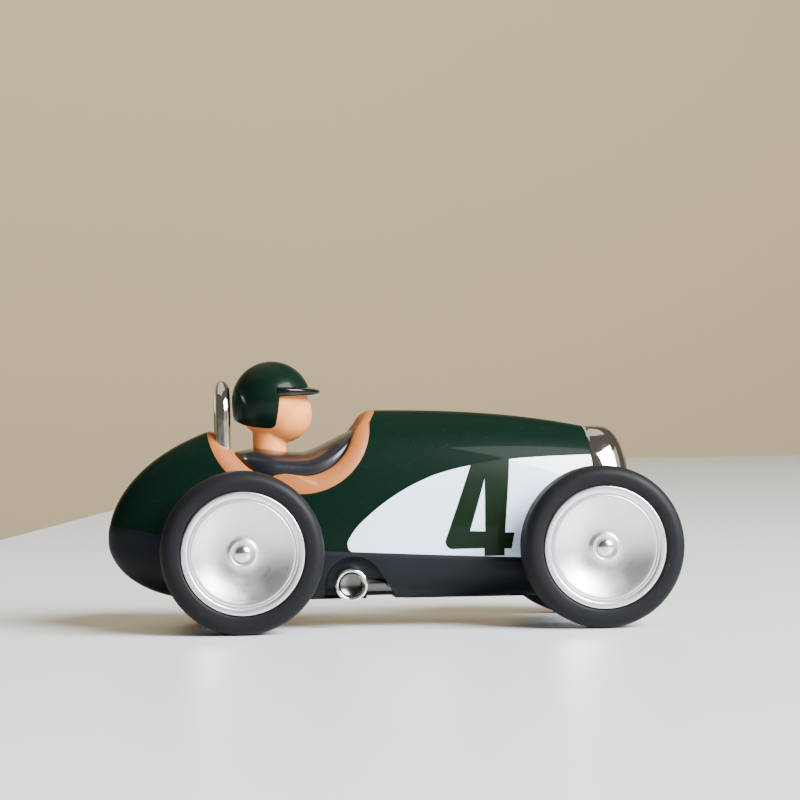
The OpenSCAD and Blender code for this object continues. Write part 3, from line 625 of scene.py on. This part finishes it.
SCOOP = scoop_path(40)
SHELL_TAIL_X = solve(lambda x: top_z(x) > parting_z(x), TAIL_X, TAIL_X + 20)


def at(values, s):
    """The value at share s along a list, between its neighbours."""
    i = min(int(s * (len(values) - 1)), len(values) - 2)
    f = s * (len(values) - 1) - i
    return values[i] * (1 - f) + values[i + 1] * f


def lean_to_joint(x, angle, grow=0.0, reach=16.0):
    """A section point that slides forward near the nose, where the shell's front end leans."""
    blend = max(0.0, min(1.0, (x - (NOSE_X - 1 - reach)) / reach))
    p = section_point(x, angle, grow)
    for _ in range(4):
        p = section_point(x + blend * (nose_joint_x(p.z) - NOSE_X + 1), angle, grow)
    return p


def make_shell():
    """Half of the shell as one sheet from the parting line up to the crest or the cockpit's edge, then mirrored."""
    above_all = 999
    tail = [Vector((x, above_all)) for x in spread(SHELL_TAIL_X + 0.12, SCOOP[0].x, 60, eased)]
    bonnet = [Vector((x, above_all)) for x in spread(SCOOP[-1].x, NOSE_X - 1, 60, eased)]
    stations = tail[:-1] + SCOOP + bonnet[1:]
    rows, lip, lip_r = 70, 5, 0.35

    def point(u, v):
        x, limit = at(stations, u)
        low, high = section_angle(x, parting_z(x)), section_angle(x, limit)
        row = v * (rows + 2 * lip)
        p = lean_to_joint(x, low + (high - low) * min(1.0, max(0.0, (row - lip) / rows)))
        inward = 0.0
        if row < lip:
            inward = lip_r * (1 - sqrt(max(0.0, 1 - (1 - row / lip) ** 2)))
        if row > rows + lip and limit < above_all - 99:
            inward = lip_r * (1 - sqrt(max(0.0, 1 - ((row - rows - lip) / lip) ** 2)))
        return p - surface_normal(p) * inward if inward and p.z > BELT_Z + 1 else p + Vector((0, inward, 0))

    bm = mirrored_patch(len(stations) - 1, rows + 2 * lip, point)
    piece("green_shell", bm, PAINT_GREEN, ["body_shell"], thickness=1.6)


# ---- Charcoal casing ----
def arch_front(z, grow):
    """Place along X of the exhaust arch's straight front side at height z."""
    return ARCH_X + (ARCH_R + grow - (z - ARCH_Z) * sin(radians(ARCH_LEAN))) / cos(radians(ARCH_LEAN))


def arch_outline(grow):
    """The recess round an exhaust seen from the side, open below."""
    round_part = arc(ARCH_X, ARCH_Z, ARCH_R + grow, 180, ARCH_LEAN, 40)
    return [(ARCH_X - ARCH_R - grow, -1)] + round_part + [(arch_front(-1, grow), -1)]


CASING_END_X = solve(lambda x: bottom_z(x) > parting_z(x) - 0.4, KEEL_FRONT_X, TIP_X)


def make_casing():
    """The tray from its ledge to the keel, closed at the tail, cut for the arches, the rear axle and the screws."""
    ledge = [(0.0, -0.6), (0.0, 0.02), (0.07, 0.22), (0.95, 0.47), (1.2, CASING_PROUD)]
    rows = 60

    def point(u, v):
        x = TAIL_X + 0.02 + (CASING_END_X - TAIL_X - 0.04) * (1 - cos(pi * u)) / 2
        row = v * (rows + len(ledge))
        k = min(int(row), len(ledge) - 1)
        drop, grow = ledge[k] if row < len(ledge) else ledge[-1]
        start = section_angle(x, parting_z(x) - drop, grow)
        s = max(0.0, (row - len(ledge)) / rows)
        return section_point(x, start + (-90 - start) * s, grow)

    bm = mirrored_patch(170, rows + len(ledge), point)
    tip = [v for v in bm.verts if v.co.x < TAIL_X + 0.03]
    bmesh.ops.pointmerge(bm, verts=tip, merge_co=(TAIL_X + 0.02, 0, BELT_Z))
    bm = with_modifiers(bm, lambda obj: add_wall(obj, 2.0))
    tunnel = [(ARCH_X + 4, -4), (ARCH_X + 4, TUNNEL_Z), (arch_front(TUNNEL_Z, 0.04), TUNNEL_Z),
              (arch_front(-4, 0.04), -4)]
    bm = carve(bm, prism(tunnel, -30, 30))
    for side in SIDES.values():
        y0, y1 = sorted((side * (HALF_W + 3), side * (HALF_W + CASING_PROUD - ARCH_DEPTH)))
        bm = carve(bm, prism(arch_outline(0), y0, y1))
    pad_rear, pad_front, pad_half = PAD
    pad = [(pad_rear, FLOOR_Z - 0.6), (pad_front, FLOOR_Z - 0.6), (pad_front, FLOOR_Z + 0.4),
           (pad_rear, FLOOR_Z + 0.4)]
    bm = carve(bm, prism(pad, -pad_half, pad_half), "UNION")
    for x, y in SCREWS:
        seat = bottom_z(x) + 4.5
        bm = carve(bm, rod((x, y, bottom_z(x) + 0.9), (x, y, seat + 1.5), 3.8), "UNION")
        bm = carve(bm, rod((x, y, -1), (x, y, seat), 2.7))
        bm = carve(bm, rod((x, y, seat - 1), (x, y, seat + 3), 1.3))
    room = 3.25
    notch = arc(REAR_X, AXLE_Z, room, 180, 360, 24) + [(REAR_X + room, AXLE_Z + 6), (REAR_X - room, AXLE_Z + 6)]
    bm = carve(bm, prism(notch, -30, 30))
    piece("charcoal_casing", bm, CHARCOAL, ["lower_casing"], sharp=32)


# ---- Paint on the sides ----
def painted(name, outlines, material, side, proud, stations, levels):
    """A thin skin of paint over the shell: outlines in (x, z), the first outside and the rest holes."""
    bm = bmesh.new()
    for outline in outlines:
        chain(bm, [Vector((x, 0, z)) for x, z in outline], closed=True)
    bmesh.ops.triangle_fill(bm, edges=bm.edges[:], use_beauty=True, use_dissolve=False)
    xs = [p[0] for p in outlines[0]]
    zs = [p[1] for p in outlines[0]]
    cuts = [(Vector((x, 0, 0)), Vector((1, 0, 0))) for x in spread(min(xs), max(xs), stations)[1:-1]]
    cuts += [(Vector((0, 0, z)), Vector((0, 0, 1))) for z in spread(min(zs), max(zs), levels)[1:-1]]
    for place, normal in cuts:
        everything = bm.verts[:] + bm.edges[:] + bm.faces[:]
        bmesh.ops.bisect_plane(bm, geom=everything, dist=0.0001, plane_co=place, plane_no=normal)
    for v in bm.verts:
        v.co.y = -surface_y(v.co.x, v.co.z) - proud
    bmesh.ops.solidify(bm, geom=bm.faces[:], thickness=-0.05)
    piece(name, bm, material, sharp=50, side=side)


PANEL_TOP = [(-13.2, 23.7), (-12.4, 25.6), (-9.7, 29.2), (-3.9, 34.2), (1.8, 38.0), (7.4, 40.9), (13.5, 43.2),
             (21.3, 45.0), (32.5, 46.6),
             (43.8, 47.3), (57.1, 47.6)]


NUMBER_X = 23.95


def smooth_through(points, steps):
    """A smooth curve through a few points."""
    curve = []
    ends = [points[0]] + points + [points[-1]]
    for a, b, c, d in zip(ends, ends[1:], ends[2:], ends[3:]):
        a, b, c, d = (Vector(p) for p in (a, b, c, d))
        for t in (i / steps for i in range(steps)):
            bend, twist = 2 * a - 5 * b + 4 * c - d, 3 * b - a - 3 * c + d
            curve.append(0.5 * (2 * b + (c - a) * t + bend * t ** 2 + twist * t ** 3))
    return [tuple(p) for p in curve] + [points[-1]]


def make_paint(side_name, side):
    """The pale panel that sweeps back from the nose, and the race number on it."""
    bottom = [(x, parting_z(x) + 0.06) for x in spread(NOSE_X + 4, -11.4, 24)]
    nose = [(nose_joint_x(z) - 0.15, z) for z in spread(47.6, parting_z(NOSE_X + 4) + 0.6, 12)]
    tip = arc(-11.3, 23.2, 1.7, 250, 165, 6)
    panel = smooth_through(PANEL_TOP[:-1], 6) + nose + bottom[1:-1] + tip
    painted(f"side_panel_{side_name}", [panel], PANEL_WHITE, side, 0.04, 70, 34)
    foot = parting_z(28) + 0.25
    corner = arc(16.6, 23.9, 2.1, 160, 262, 8)
    number = ([(33.3, 47.0), (22.2, 45.4)] + corner + [(25.5, 21.9), (25.5, foot), (31.3, foot), (31.3, 21.7),
                                                       (33.3, 21.6),
              (34.2, 26.1), (31.5, 26.2)])
    eye = [(26.0, 41.4), (25.8, 26.6), (21.5, 26.8)]
    if side > 0:
        number, eye = ([(2 * NUMBER_X - x, z) for x, z in outline] for outline in (number, eye))
    painted(f"race_number_{side_name}", [number, eye], NUMBER_GREEN, side, 0.09, 24, 34)


# ---- Cockpit ----
TRIM_W = 4.5
TRIM_HALF_W = 15.6
INNER_REAR_ANGLE = 221
INNER_FRONT_ANGLE = 350


def inner_path(count):
    """The trim's inner edge seen from the side."""
    rear = arc(SCOOP_REAR_X, SCOOP_Z, SCOOP_R - TRIM_W, INNER_REAR_ANGLE, 270, count)
    front = arc(SCOOP_FRONT_X + 0.9, SCOOP_Z, SCOOP_R - TRIM_W, 270, INNER_FRONT_ANGLE, count)
    return [Vector(p) for p in rear + front]


INNER = inner_path(40)


def trim_edges(u):
    """Outer and inner edge of the padded trim at share u of the way from its rear centre to its front centre."""
    x, z = at(SCOOP, eased(u))
    z = min(z, top_z(x) - 1e-4)
    outer = Vector((x, -surface_y(x, z), z)) if 0 < u < 1 else Vector((x, 0, z))
    x, z = at(INNER, eased(u))
    return outer, Vector((x, -TRIM_HALF_W * sin(pi * u) ** 0.75, z))


def make_trim():
    """A padded roll that follows the opening: a curved face from the shell's edge over to the cover's edge."""
    rows, face_rows = 30, 22

    def point(u, v):
        outer, inner = trim_edges(u)
        ahead, behind = trim_edges(min(1, u + 0.004))[0], trim_edges(max(0, u - 0.004))[0]
        normal = surface_normal(outer)
        tangent = normal.cross((ahead - behind).normalized()).normalized()
        if tangent.dot(inner - outer) < 0:
            tangent = -tangent
        chord = (inner - outer).length
        side = abs(outer.y) / HALF_W
        fore = max(0.0, min(1.0, (u - 0.6) / 0.4))
        aft = max(0.0, 1 - u / 0.2)
        rise = Vector((0.0, -0.35 * side, 0.55 + 0.25 * fore)) * chord * (0.45 - 0.4 * aft)
        a, b = outer + normal * 0.02, outer + normal * (0.55 - 0.45 * aft) + tangent * (0.38 * chord)
        c, d = inner + rise, inner
        row = v * rows
        if row <= face_rows:
            t = row / face_rows
            return a * (1 - t) ** 3 + b * 3 * t * (1 - t) ** 2 + c * 3 * t * t * (1 - t) + d * t ** 3
        under = [inner + Vector((0, -0.2 * side, -1.2)), inner + Vector((0, -0.3 * side, -2.4)),
                 outer - normal * 2.2 + tangent * 0.8, outer - normal * 1.0 + tangent * 0.05, a]
        return at([d] + under, (row - face_rows) / (rows - face_rows))

    bm = mirrored_patch(150, rows, point)
    piece("padded_trim", bm, TAN, ["cockpit_trim"], sharp=60)


def cover_crest(x):
    """Height of the cover's centre line."""
    front = min(1.0, max(0.0, x - TAIL_X - 54) / 15)
    return 48.9 + 1.6 * exp(-((x - TAIL_X - 43) / 7) ** 2) + 6.2 * front ** 1.5 * (1.25 - 0.25 * front ** 2)


def make_cover():
    """The black cockpit cover, a saddle that is hollow lengthwise and crowned across."""
    def point(u, v):
        x, z = at(INNER, eased(u))
        half = (TRIM_HALF_W - 0.12) * max(0.0, sin(pi * u)) ** 0.75
        c = cos(pi * v / 2)
        crown = max(0.0, cover_crest(x) - z)
        ends = min(1.0, sin(pi * u) * 5)
        return Vector((x, -half * c, z + 0.1 + crown * ends ** 0.5 * max(0.0, 1 - c * c) ** 0.28))

    bm = mirrored_patch(110, 50, point)
    piece("cockpit_cover_skin", bm, SEAT_BLACK, ["cockpit_cover"], thickness=1.4, sharp=60)


# ---- Chrome nose ----
WINDOW_LOW = 24.0
WINDOW_HIGH = 47.0
WINDOW_HALF = 8.0


def window_outline(grow, steps=24):
    """The grille's window seen from ahead: a round head and a foot that narrows."""
    head = [(y, z) for y, z in arc(0, WINDOW_HIGH - WINDOW_HALF, WINDOW_HALF + grow, 0, 180, steps)]
    foot = WINDOW_HALF * 0.72 + grow
    corner = 1.6
    left = [(-foot + corner * (1 - cos(radians(a))), WINDOW_LOW - grow + corner * (1 - sin(radians(a))))
            for a in (0, 30, 60, 90)]
    return head + left + [(-y, z) for y, z in reversed(left)]


def nose_front_x(y, z):
    """Where the nose's surface stands ahead of a place on the window's outline."""
    def inside(x):
        return surface_y(x, z, NOSE_PROUD) < abs(y) + 0.001 or top_z(x) + NOSE_PROUD < z
    return solve(inside, NOSE_X, TIP_X - 0.001)


def make_nose():
    """The plated radiator shell, its window with a rolled rim, the upright bars and the dark plate behind them."""
    def point(u, v):
        s = 1 - (1 - u) ** 2.6
        start = NOSE_X - 1 + 0.15
        x = start + (TIP_X - 0.03 - start) * s
        low = section_angle(x, parting_z(x) + 0.1, NOSE_PROUD)
        angle = low + (90 - low) * v
        p = section_point(x, angle, NOSE_PROUD)
        lean = max(0.0, 1 - (x - start) / 9)
        for _ in range(4):
            p = section_point(min(TIP_X - 0.03, x + lean * (nose_joint_x(p.z) - NOSE_X + 1)), angle, NOSE_PROUD)
        if u == 0:
            return section_point(p.x, angle, NOSE_PROUD - 0.35)
        return p

    bm = mirrored_patch(90, 90, point)
    bm = with_modifiers(bm, lambda obj: add_wall(obj, 1.3))
    bm = carve(bm, drawn([Vector((NOSE_X + 6, y, z)) for y, z in window_outline(0)], (14, 0, 0)))
    piece("nose_chrome", bm, CHROME, ["radiator_shell"], sharp=40)

    path = [Vector((nose_front_x(y, z) - 0.45, y, z)) for y, z in window_outline(0.15, 40)]
    rim = sweep(path + path[:2], 0.55, 14, cap=False)
    piece("nose_window_rim", rim, CHROME, sharp=60)

    grille_x = TIP_X - 4.6
    bars = []
    for i in range(9):
        y = (i - 4) * 1.75
        head = WINDOW_HIGH - WINDOW_HALF + sqrt(WINDOW_HALF ** 2 - y * y) + 0.4
        foot = WINDOW_LOW - 0.4
        bar = [Vector((grille_x + 1.3 + 1.2 * sin(pi * s), y, foot + (head - foot) * s)) for s in spread(0, 1, 14)]
        bars.append(sweep(bar, 0.42, 12))
    piece("nose_bars", joined(*bars), DARK_CHROME, ["radiator_grille"], sharp=60)
    back = drawn([Vector((grille_x, y, z)) for y, z in window_outline(0.8)], (0.8, 0, 0))
    piece("nose_back_plate", back, GRILLE_BACK)


# ---- Driver ----
HEAD = Vector((TAIL_X + 46.7, 0, 63.85))
FACE = Vector((TAIL_X + 50, 0, 60.2))
NECK_X = TAIL_X + 46
HELMET_R = 11.3
HELMET_WALL = 1.05
BROW_Z = 66.2


def make_head():
    """A peg-doll head: a ball for the face, one for the skull and a round neck, blended where they meet."""
    face = bmesh.new()
    bmesh.ops.create_icosphere(face, subdivisions=5, radius=8.2, matrix=Matrix.Translation(FACE))
    skull = bmesh.new()
    bmesh.ops.create_icosphere(skull, subdivisions=5, radius=HELMET_R - HELMET_WALL - 0.05,
                               matrix=Matrix.Translation(HEAD))
    neck = rod((NECK_X, 0, 46.5), (NECK_X, 0, 58), 4.8, 64)
    bm = carve(carve(face, skull, "UNION"), neck, "UNION")

    def skin(obj):
        remesh = obj.modifiers.new("skin", "REMESH")
        remesh.mode = "VOXEL"
        remesh.voxel_size = 0.32
        relax = obj.modifiers.new("relax", "SMOOTH")
        relax.factor = 0.5
        relax.iterations = 14

    piece("driver_head_skin", with_modifiers(bm, skin), SKIN, ["driver_head"], sharp=80)


def make_helmet():
    """An open-faced helmet: from the crown down to its rim, round the rim and up inside."""
    brow, back = BROW_Z - HEAD.z, -5.2
    rim = [(-sqrt(HELMET_R ** 2 - back ** 2), back), (-8.9, -5.75), (-6.6, -6.75), (-1.2, -7.55), (0.0, -7.2),
           (0.7, -6.4), (0.75, -5.0), (0.7, -2.0), (0.75, brow - 0.9), (1.0, brow - 0.2), (3.0, brow), (7.0, brow),
           (sqrt(HELMET_R ** 2 - brow ** 2), brow)]
    rim = [Vector(p) for p in smooth_through([tuple(Vector(p)) for p in rim], 8)]

    def rim_place(u):
        x, z = at(rim, u)
        y = -sqrt(max(0.0, HELMET_R ** 2 - x * x - z * z))
        return Vector((x, 0 if u in (0, 1) else y, z)).normalized()

    def full_back(p):
        if p.x < 0 and p.z < 0:
            return Vector((p.x * (1 + 0.08 * (p.z / 5.5) ** 2), p.y, p.z))
        return p

    crown = Vector((0.1, 0, 1)).normalized()
    rows, rim_rows, inner_rows = 60, 8, 10

    def point(u, v):
        edge = rim_place(u)
        row = v * (rows + rim_rows + inner_rows)
        middle, half = HELMET_R - HELMET_WALL / 2, HELMET_WALL / 2
        if row <= rows:
            return HEAD + full_back(crown.slerp(edge, row / rows) * HELMET_R)
        if row <= rows + rim_rows:
            turn = pi * (row - rows) / rim_rows
            down = (edge - crown * crown.dot(edge)).normalized()
            onward = (down * crown.dot(edge) - crown * sqrt(max(0.0, 1 - crown.dot(edge) ** 2))).normalized()
            return HEAD + full_back(edge * (middle + half * cos(turn)) + onward * (half * 0.8 * sin(turn)))
        inside = (row - rows - rim_rows) / inner_rows
        return HEAD + full_back(edge.slerp(crown, inside * 0.35) * (HELMET_R - HELMET_WALL))

    bm = mirrored_patch(176, rows + rim_rows + inner_rows, point)
    piece("helmet_skin", bm, HELMET_GREEN, ["helmet"], sharp=70)


def make_peak():
    """A short black peak round the front of the helmet, thick at its root and rounded at its edge."""
    spread_deg = 84
    z0 = BROW_Z + 0.25 - HEAD.z
    root = sqrt(HELMET_R ** 2 - z0 ** 2) - 0.7

    def point(u, v):
        angle = radians(spread_deg) * u
        reach = 0.9 + 2.6 * cos(angle * 90 / spread_deg) ** 0.8
        turn = pi * v
        along = sin(turn) ** 0.55 if v not in (0, 1) else 0.0
        half = 1.35 - 0.45 * along * cos(angle)
        z = z0 + half * (1 if cos(turn) >= 0 else -1) * abs(cos(turn)) ** 0.4
        r = root + reach * along
        droop = -0.25 * cos(angle) * along
        return HEAD + Vector((r * cos(angle), -r * sin(angle), z + droop))

    bm = mirrored_patch(70, 30, point)
    bmesh.ops.holes_fill(bm, edges=[e for e in bm.edges if e.is_boundary], sides=0)
    piece("peak_skin", bm, GLOSS_BLACK, ["helmet_peak"], sharp=60)


def make_hoop():
    """The roll hoop: one bent rod, its feet in the trim."""
    low, high = node_box("roll_hoop")
    radius = (high.x - low.x) / 2
    x, half = (low.x + high.x) / 2, high.y - radius
    turn_z = high.z - radius - half
    legs = spread(low.z, turn_z, 12)
    path = [Vector((x, -half, z)) for z in legs[:-1]]
    path += [Vector((x, y, turn_z + z)) for y, z in arc(0, 0, half, 180, 0, 48)]
    path += [Vector((x, half, z)) for z in reversed(legs[:-1])]
    piece("roll_hoop_rod", sweep(path, radius, 40), CHROME, ["roll_hoop"], sharp=60)


# ---- Exhausts ----
OUTLET_X = ARCH_X - 0.9
OUTLET_Z = 12.4
OUTLET_Y = 20.8
PIPE_Y = 14.8
PIPE_R = 2.2
ELBOW_R = 3.4


def make_exhaust(side_name, side):
    """A pipe with a bell outlet whose mouth is a chrome hollow darkened with painted shade, the tube behind it
    darkened the same way, and the black recess it sits in.
    """
    bowl = [(3.55 * sin(radians(a)), 0.6 + 1.5 * cos(radians(a))) for a in spread(6, 84, 14)]
    outlet = Vector((OUTLET_X, -OUTLET_Y, OUTLET_Z))
    hollow = turned([(0.0, 2.1)] + bowl + [(r, y + 0.2) for r, y in reversed(bowl)] + [(0.0, 2.3)], outlet, 72)
    # Painted shade: the hollow in the mouth is darkened chrome so it looks shaded.
    piece(f"exhaust_hollow_{side_name}", hollow, SHADED_CHROME, sharp=50, side=side)
    bell = [(0.0, 3.3), (2.0, 3.1), (3.0, 2.4), (3.56, 1.2)]
    bell += arc(4.05, 0.5, 0.55, 205, 380, 14)
    bell += [(4.45, 1.6), (4.15, 2.6), (3.3, 3.5), (2.4, 3.9), (0.0, 3.9)]
    mouth = turned(bell, outlet, 72)
    elbow = Vector((OUTLET_X + ELBOW_R, -PIPE_Y, OUTLET_Z))
    bend = [Vector((elbow.x + x, elbow.y - ELBOW_R + y, elbow.z)) for x, y in arc(0, 0, ELBOW_R, 180, 90, 16)]
    tube = sweep(bend + [elbow + Vector((d, 0, 0)) for d in (1.5, 4, 6, 8.2)], PIPE_R, 32)
    piece(f"exhaust_pipe_{side_name}", mouth, CHROME, [f"exhaust_{side_name}"], sharp=50, side=side)
    # Painted shade: the tube is darkened chrome so it looks shaded in its recess.
    piece(f"exhaust_tube_{side_name}", tube, SHADED_CHROME, sharp=50, side=side)

    edge, deep = HALF_W + CASING_PROUD, ARCH_DEPTH - 0.15
    whole = prism(arch_outline(-0.12), -edge + 0.9, -edge + deep)
    whole = carve(whole, prism(arch_outline(-0.5), -edge - 2, -edge + deep - 0.4))
    low, high = -5, TUNNEL_Z + 0.2
    below = [(ARCH_X - 20, low), (ARCH_X + 20, low), (ARCH_X + 20, high), (ARCH_X - 20, high)]
    whole = carve(whole, prism(below, -40, 0))
    hole = rod((OUTLET_X + 4, -PIPE_Y, OUTLET_Z), (OUTLET_X + 30, -PIPE_Y, OUTLET_Z), PIPE_R + 0.1, 32)
    whole = carve(whole, hole)
    for v in whole.verts:
        v.co.y = max(v.co.y, 0.4 - surface_y(v.co.x, v.co.z, CASING_PROUD))
    bevelled(whole, 0.1, 60)
    piece(f"exhaust_recess_{side_name}", whole, RECESS_BLACK, [f"exhaust_cove_{side_name}"],
          sharp=35,
          side=side)


# ---- Wheels ----
RIM_R = 17
SEAT_R = 15.5


def make_wheel(end, x, side_name, side):
    """Tyre, spun disc and hub cap. Places along the axle count outward from the tyre's inner side."""
    centre = Vector((x, -TYRE_OUT + TYRE_W, AXLE_Z))
    body = f"{end}_wheels"
    tag = f"{end}_{side_name}"

    def round_axle(points, steps):
        return turned([(r, -v) for r, v in points], centre, steps)

    shoulder_r, shoulder_w = 3.1, 3.3
    half = TYRE_W / 2
    side_wall = [(RIM_R + 0.05, half - 1.6), (RIM_R + 0.05, half - 0.7), (RIM_R + 0.3, half - 0.22),
                 (RIM_R + 0.8, half - 0.03)]
    crown = [(TYRE_R - shoulder_r + shoulder_r * cos(radians(a)) ** 0.85,
              half - shoulder_w + shoulder_w * sin(radians(a)) ** 0.9) for a in spread(90, 4, 22)]
    crown += [(TYRE_R, half - shoulder_w - 0.6)]
    upper = [(SEAT_R, half - 1.6)] + side_wall + crown
    profile = [(r, half + s) for r, s in upper] + [(r, half - s) for r, s in reversed(upper)]
    tyre = round_axle(profile + profile[:1], 128)
    piece(f"rubber_{tag}", tyre, RUBBER[end], [f"tyre_{tag}"], body=body, sharp=50, side=side)

    w = TYRE_W
    rim = [(RIM_R, w - 1.55), (RIM_R, w - 0.55)]
    rim += arc(RIM_R - 0.4, w - 0.4, 0.4, 8, 90, 6)
    rim += [(16.1, w + 0.0), (15.55, w - 0.04), (15.25, w - 0.16), (15.05, w - 0.42), (14.95, w - 0.8),
            (14.8, w - 0.98), (14.62, w - 0.9),
            (14.5, w - 0.66), (14.35, w - 0.55), (14.1, w - 0.56)]
    dish = [(14.1 - 9.5 * s, w - 0.56 - 2.1 * sin(radians(90 * s)) ** 1.1) for s in spread(0, 1, 22)][1:]
    hub = [(4.35, w - 2.64), (4.15, w - 2.4), (4.05, w - 1.6), (3.98, w - 0.75), (3.85, w - 0.38), (3.6, w - 0.22),
           (3.3, w - 0.24), (3.1, w - 0.4),
           (3.0, w - 0.75), (2.6, w - 0.85), (1.0, w - 0.85), (1.0, 11.2), (1.5, 11.2)]
    inside = [(1.5, 0.6), (3.4, 0.6), (3.4, 8.7), (13.4, 10.2), (13.8, 9.8), (13.9, 0.95), (14.2, 0.5), (16.4, 0.5),
              (16.4, 1.5),
              (SEAT_R, 1.55), (SEAT_R, w - 1.55), (RIM_R, w - 1.55)]
    disc = round_axle(rim + dish + hub + inside, 128)
    piece(f"spun_disc_{tag}", disc, SILVER[end], [f"wheel_disc_{tag}"], body=body, sharp=42, side=side)

    cap = [(0.0, 11.3), (1.0, 11.3), (1.0, w - 0.8), (2.3, w - 0.8), (2.32, w - 0.2)]
    cap += [(2.32 * cos(radians(a)), w - 0.2 + 1.1 * sin(radians(a)))
            for a in spread(0, 90, 14)][1:-1] + [(0.0, w + 0.9)]
    piece(f"axle_cap_{tag}", round_axle(cap, 64), BRIGHT[end], [f"hub_cap_{tag}"], body=body, sharp=50,
          side=side)


# ---- Everything that is built ----
make_shell()
make_casing()
make_trim()
make_cover()
make_nose()
make_head()
make_helmet()
make_peak()
make_hoop()
for side_name, side in SIDES.items():
    make_paint(side_name, side)
    make_exhaust(side_name, side)
    for end, x in ENDS.items():
        make_wheel(end, x, side_name, side)

INNER_FINISH = {
    "head_screw": ZINC, "casing_screws": ZINC, "motor_screws": ZINC, "front_axle": STEEL, "rear_axle": STEEL,
    "mainspring": SPRING_STEEL, "front_bushes": NYLON, "motor_case_right": NYLON, "motor_case_left": NYLON,
    "spring_gear": ACETAL, "idler_gear": ACETAL, "axle_pinion": ACETAL,
}
for name, material in INNER_FINISH.items():
    for material_slot in bpy.data.objects[name].material_slots:
        material_slot.material = material


# ---- Studio ----
def stage_material(name, colour, roughness, specular):
    material, nodes, shader, place = finish(name)
    cloud = nodes.remap(nodes.noise(place, 1.2, 2.0), 0.3, 0.7)
    shade = nodes.mix(cloud, (*colour, 1), (*[c * 0.965 for c in colour], 1))
    nodes.link(shade, shader.inputs["Base Color"])
    shader.inputs["Roughness"].default_value = roughness
    shader.inputs["Specular IOR Level"].default_value = specular
    return material


def stage_plane(name, corners, material):
    bm = bmesh.new()
    bm.faces.new([bm.verts.new(Vector(c)) for c in corners])
    mesh = bpy.data.meshes.new(name)
    bm.to_mesh(mesh)
    bm.free()
    mesh.materials.append(material)
    placed(name, mesh)


FLOOR = stage_material("pale_floor", (0.73, 0.765, 0.80), 0.3, 0.35)
WALL = stage_material("beige_backdrop", (0.62, 0.52, 0.325), 0.95, 0.0)
FLOOR_EDGE = [(-3, -2.2), (3, -2.2), (3, 1.7), (0.08, 1.85), (-0.16, 0.33), (-3, 0.33)]
stage_plane("floor", [(x, y, 0) for x, y in FLOOR_EDGE], FLOOR)
stage_plane("backdrop", [(-6, 4.0, -3), (-6, 4.0, 4), (6, 4.0, 4), (6, 4.0, -3)], WALL)


def soft_light(name, place, target, width, height, power, colour):
    """A soft box at a place, turned to a target."""
    data = bpy.data.lights.new(name, "AREA")
    data.shape = "RECTANGLE"
    data.size = width
    data.size_y = height
    data.energy = power
    data.color = colour
    light = placed(name, data)
    light.location = place
    light.rotation_euler = (Vector(target) - Vector(place)).to_track_quat("-Z", "Y").to_euler()


CAR = (0, 0, 0.03)
soft_light("key", (1.14, -1.10, 1.09), CAR, 1.3, 1.1, 190, (0.98, 0.99, 1.0))
soft_light("window", (1.30, -0.50, 0.80), CAR, 0.35, 0.5, 10, (0.94, 0.97, 1.0))
soft_light("ceiling", (-0.6, 0.8, 2.6), CAR, 3.0, 3.0, 22, (1.0, 0.86, 0.66))
soft_light("side_card", (2.6, -0.5, 0.7), CAR, 2.0, 2.0, 8, (1.0, 0.82, 0.52))
soft_light("front_card", (1.3, -2.2, 0.35), CAR, 1.5, 0.9, 1.5, (1.0, 0.82, 0.52))
soft_light("wall_wash", (0, 2.6, 0.9), (0, 4.0, 0.45), 3.2, 0.6, 25, (1.0, 0.96, 0.9))

world = bpy.data.worlds.new("studio")
bpy.context.scene.world = world
world.use_nodes = True
background = world.node_tree.nodes["Background"].inputs
background["Color"].default_value = (1.0, 0.9, 0.74, 1)
background["Strength"].default_value = 0.12

# ---- Camera ----
camera_data = bpy.data.cameras.new("camera")
camera_data.lens = 139.64
camera_data.sensor_width = 36
camera_data.clip_start = 0.05
camera_data.clip_end = 50
camera = placed("camera", camera_data)
bpy.context.scene.camera = camera
RIGHT, UP, BACK = (0.99554, -0.09338, -0.0132), (0.01363, 0.00397, 0.9999), (-0.09332, -0.99562, 0.00523)
turn = Matrix((RIGHT, UP, BACK)).transposed().to_4x4()
camera.matrix_world = Matrix.Translation(Vector((-78.74, -882.28, 68.31)) * MM) @ turn
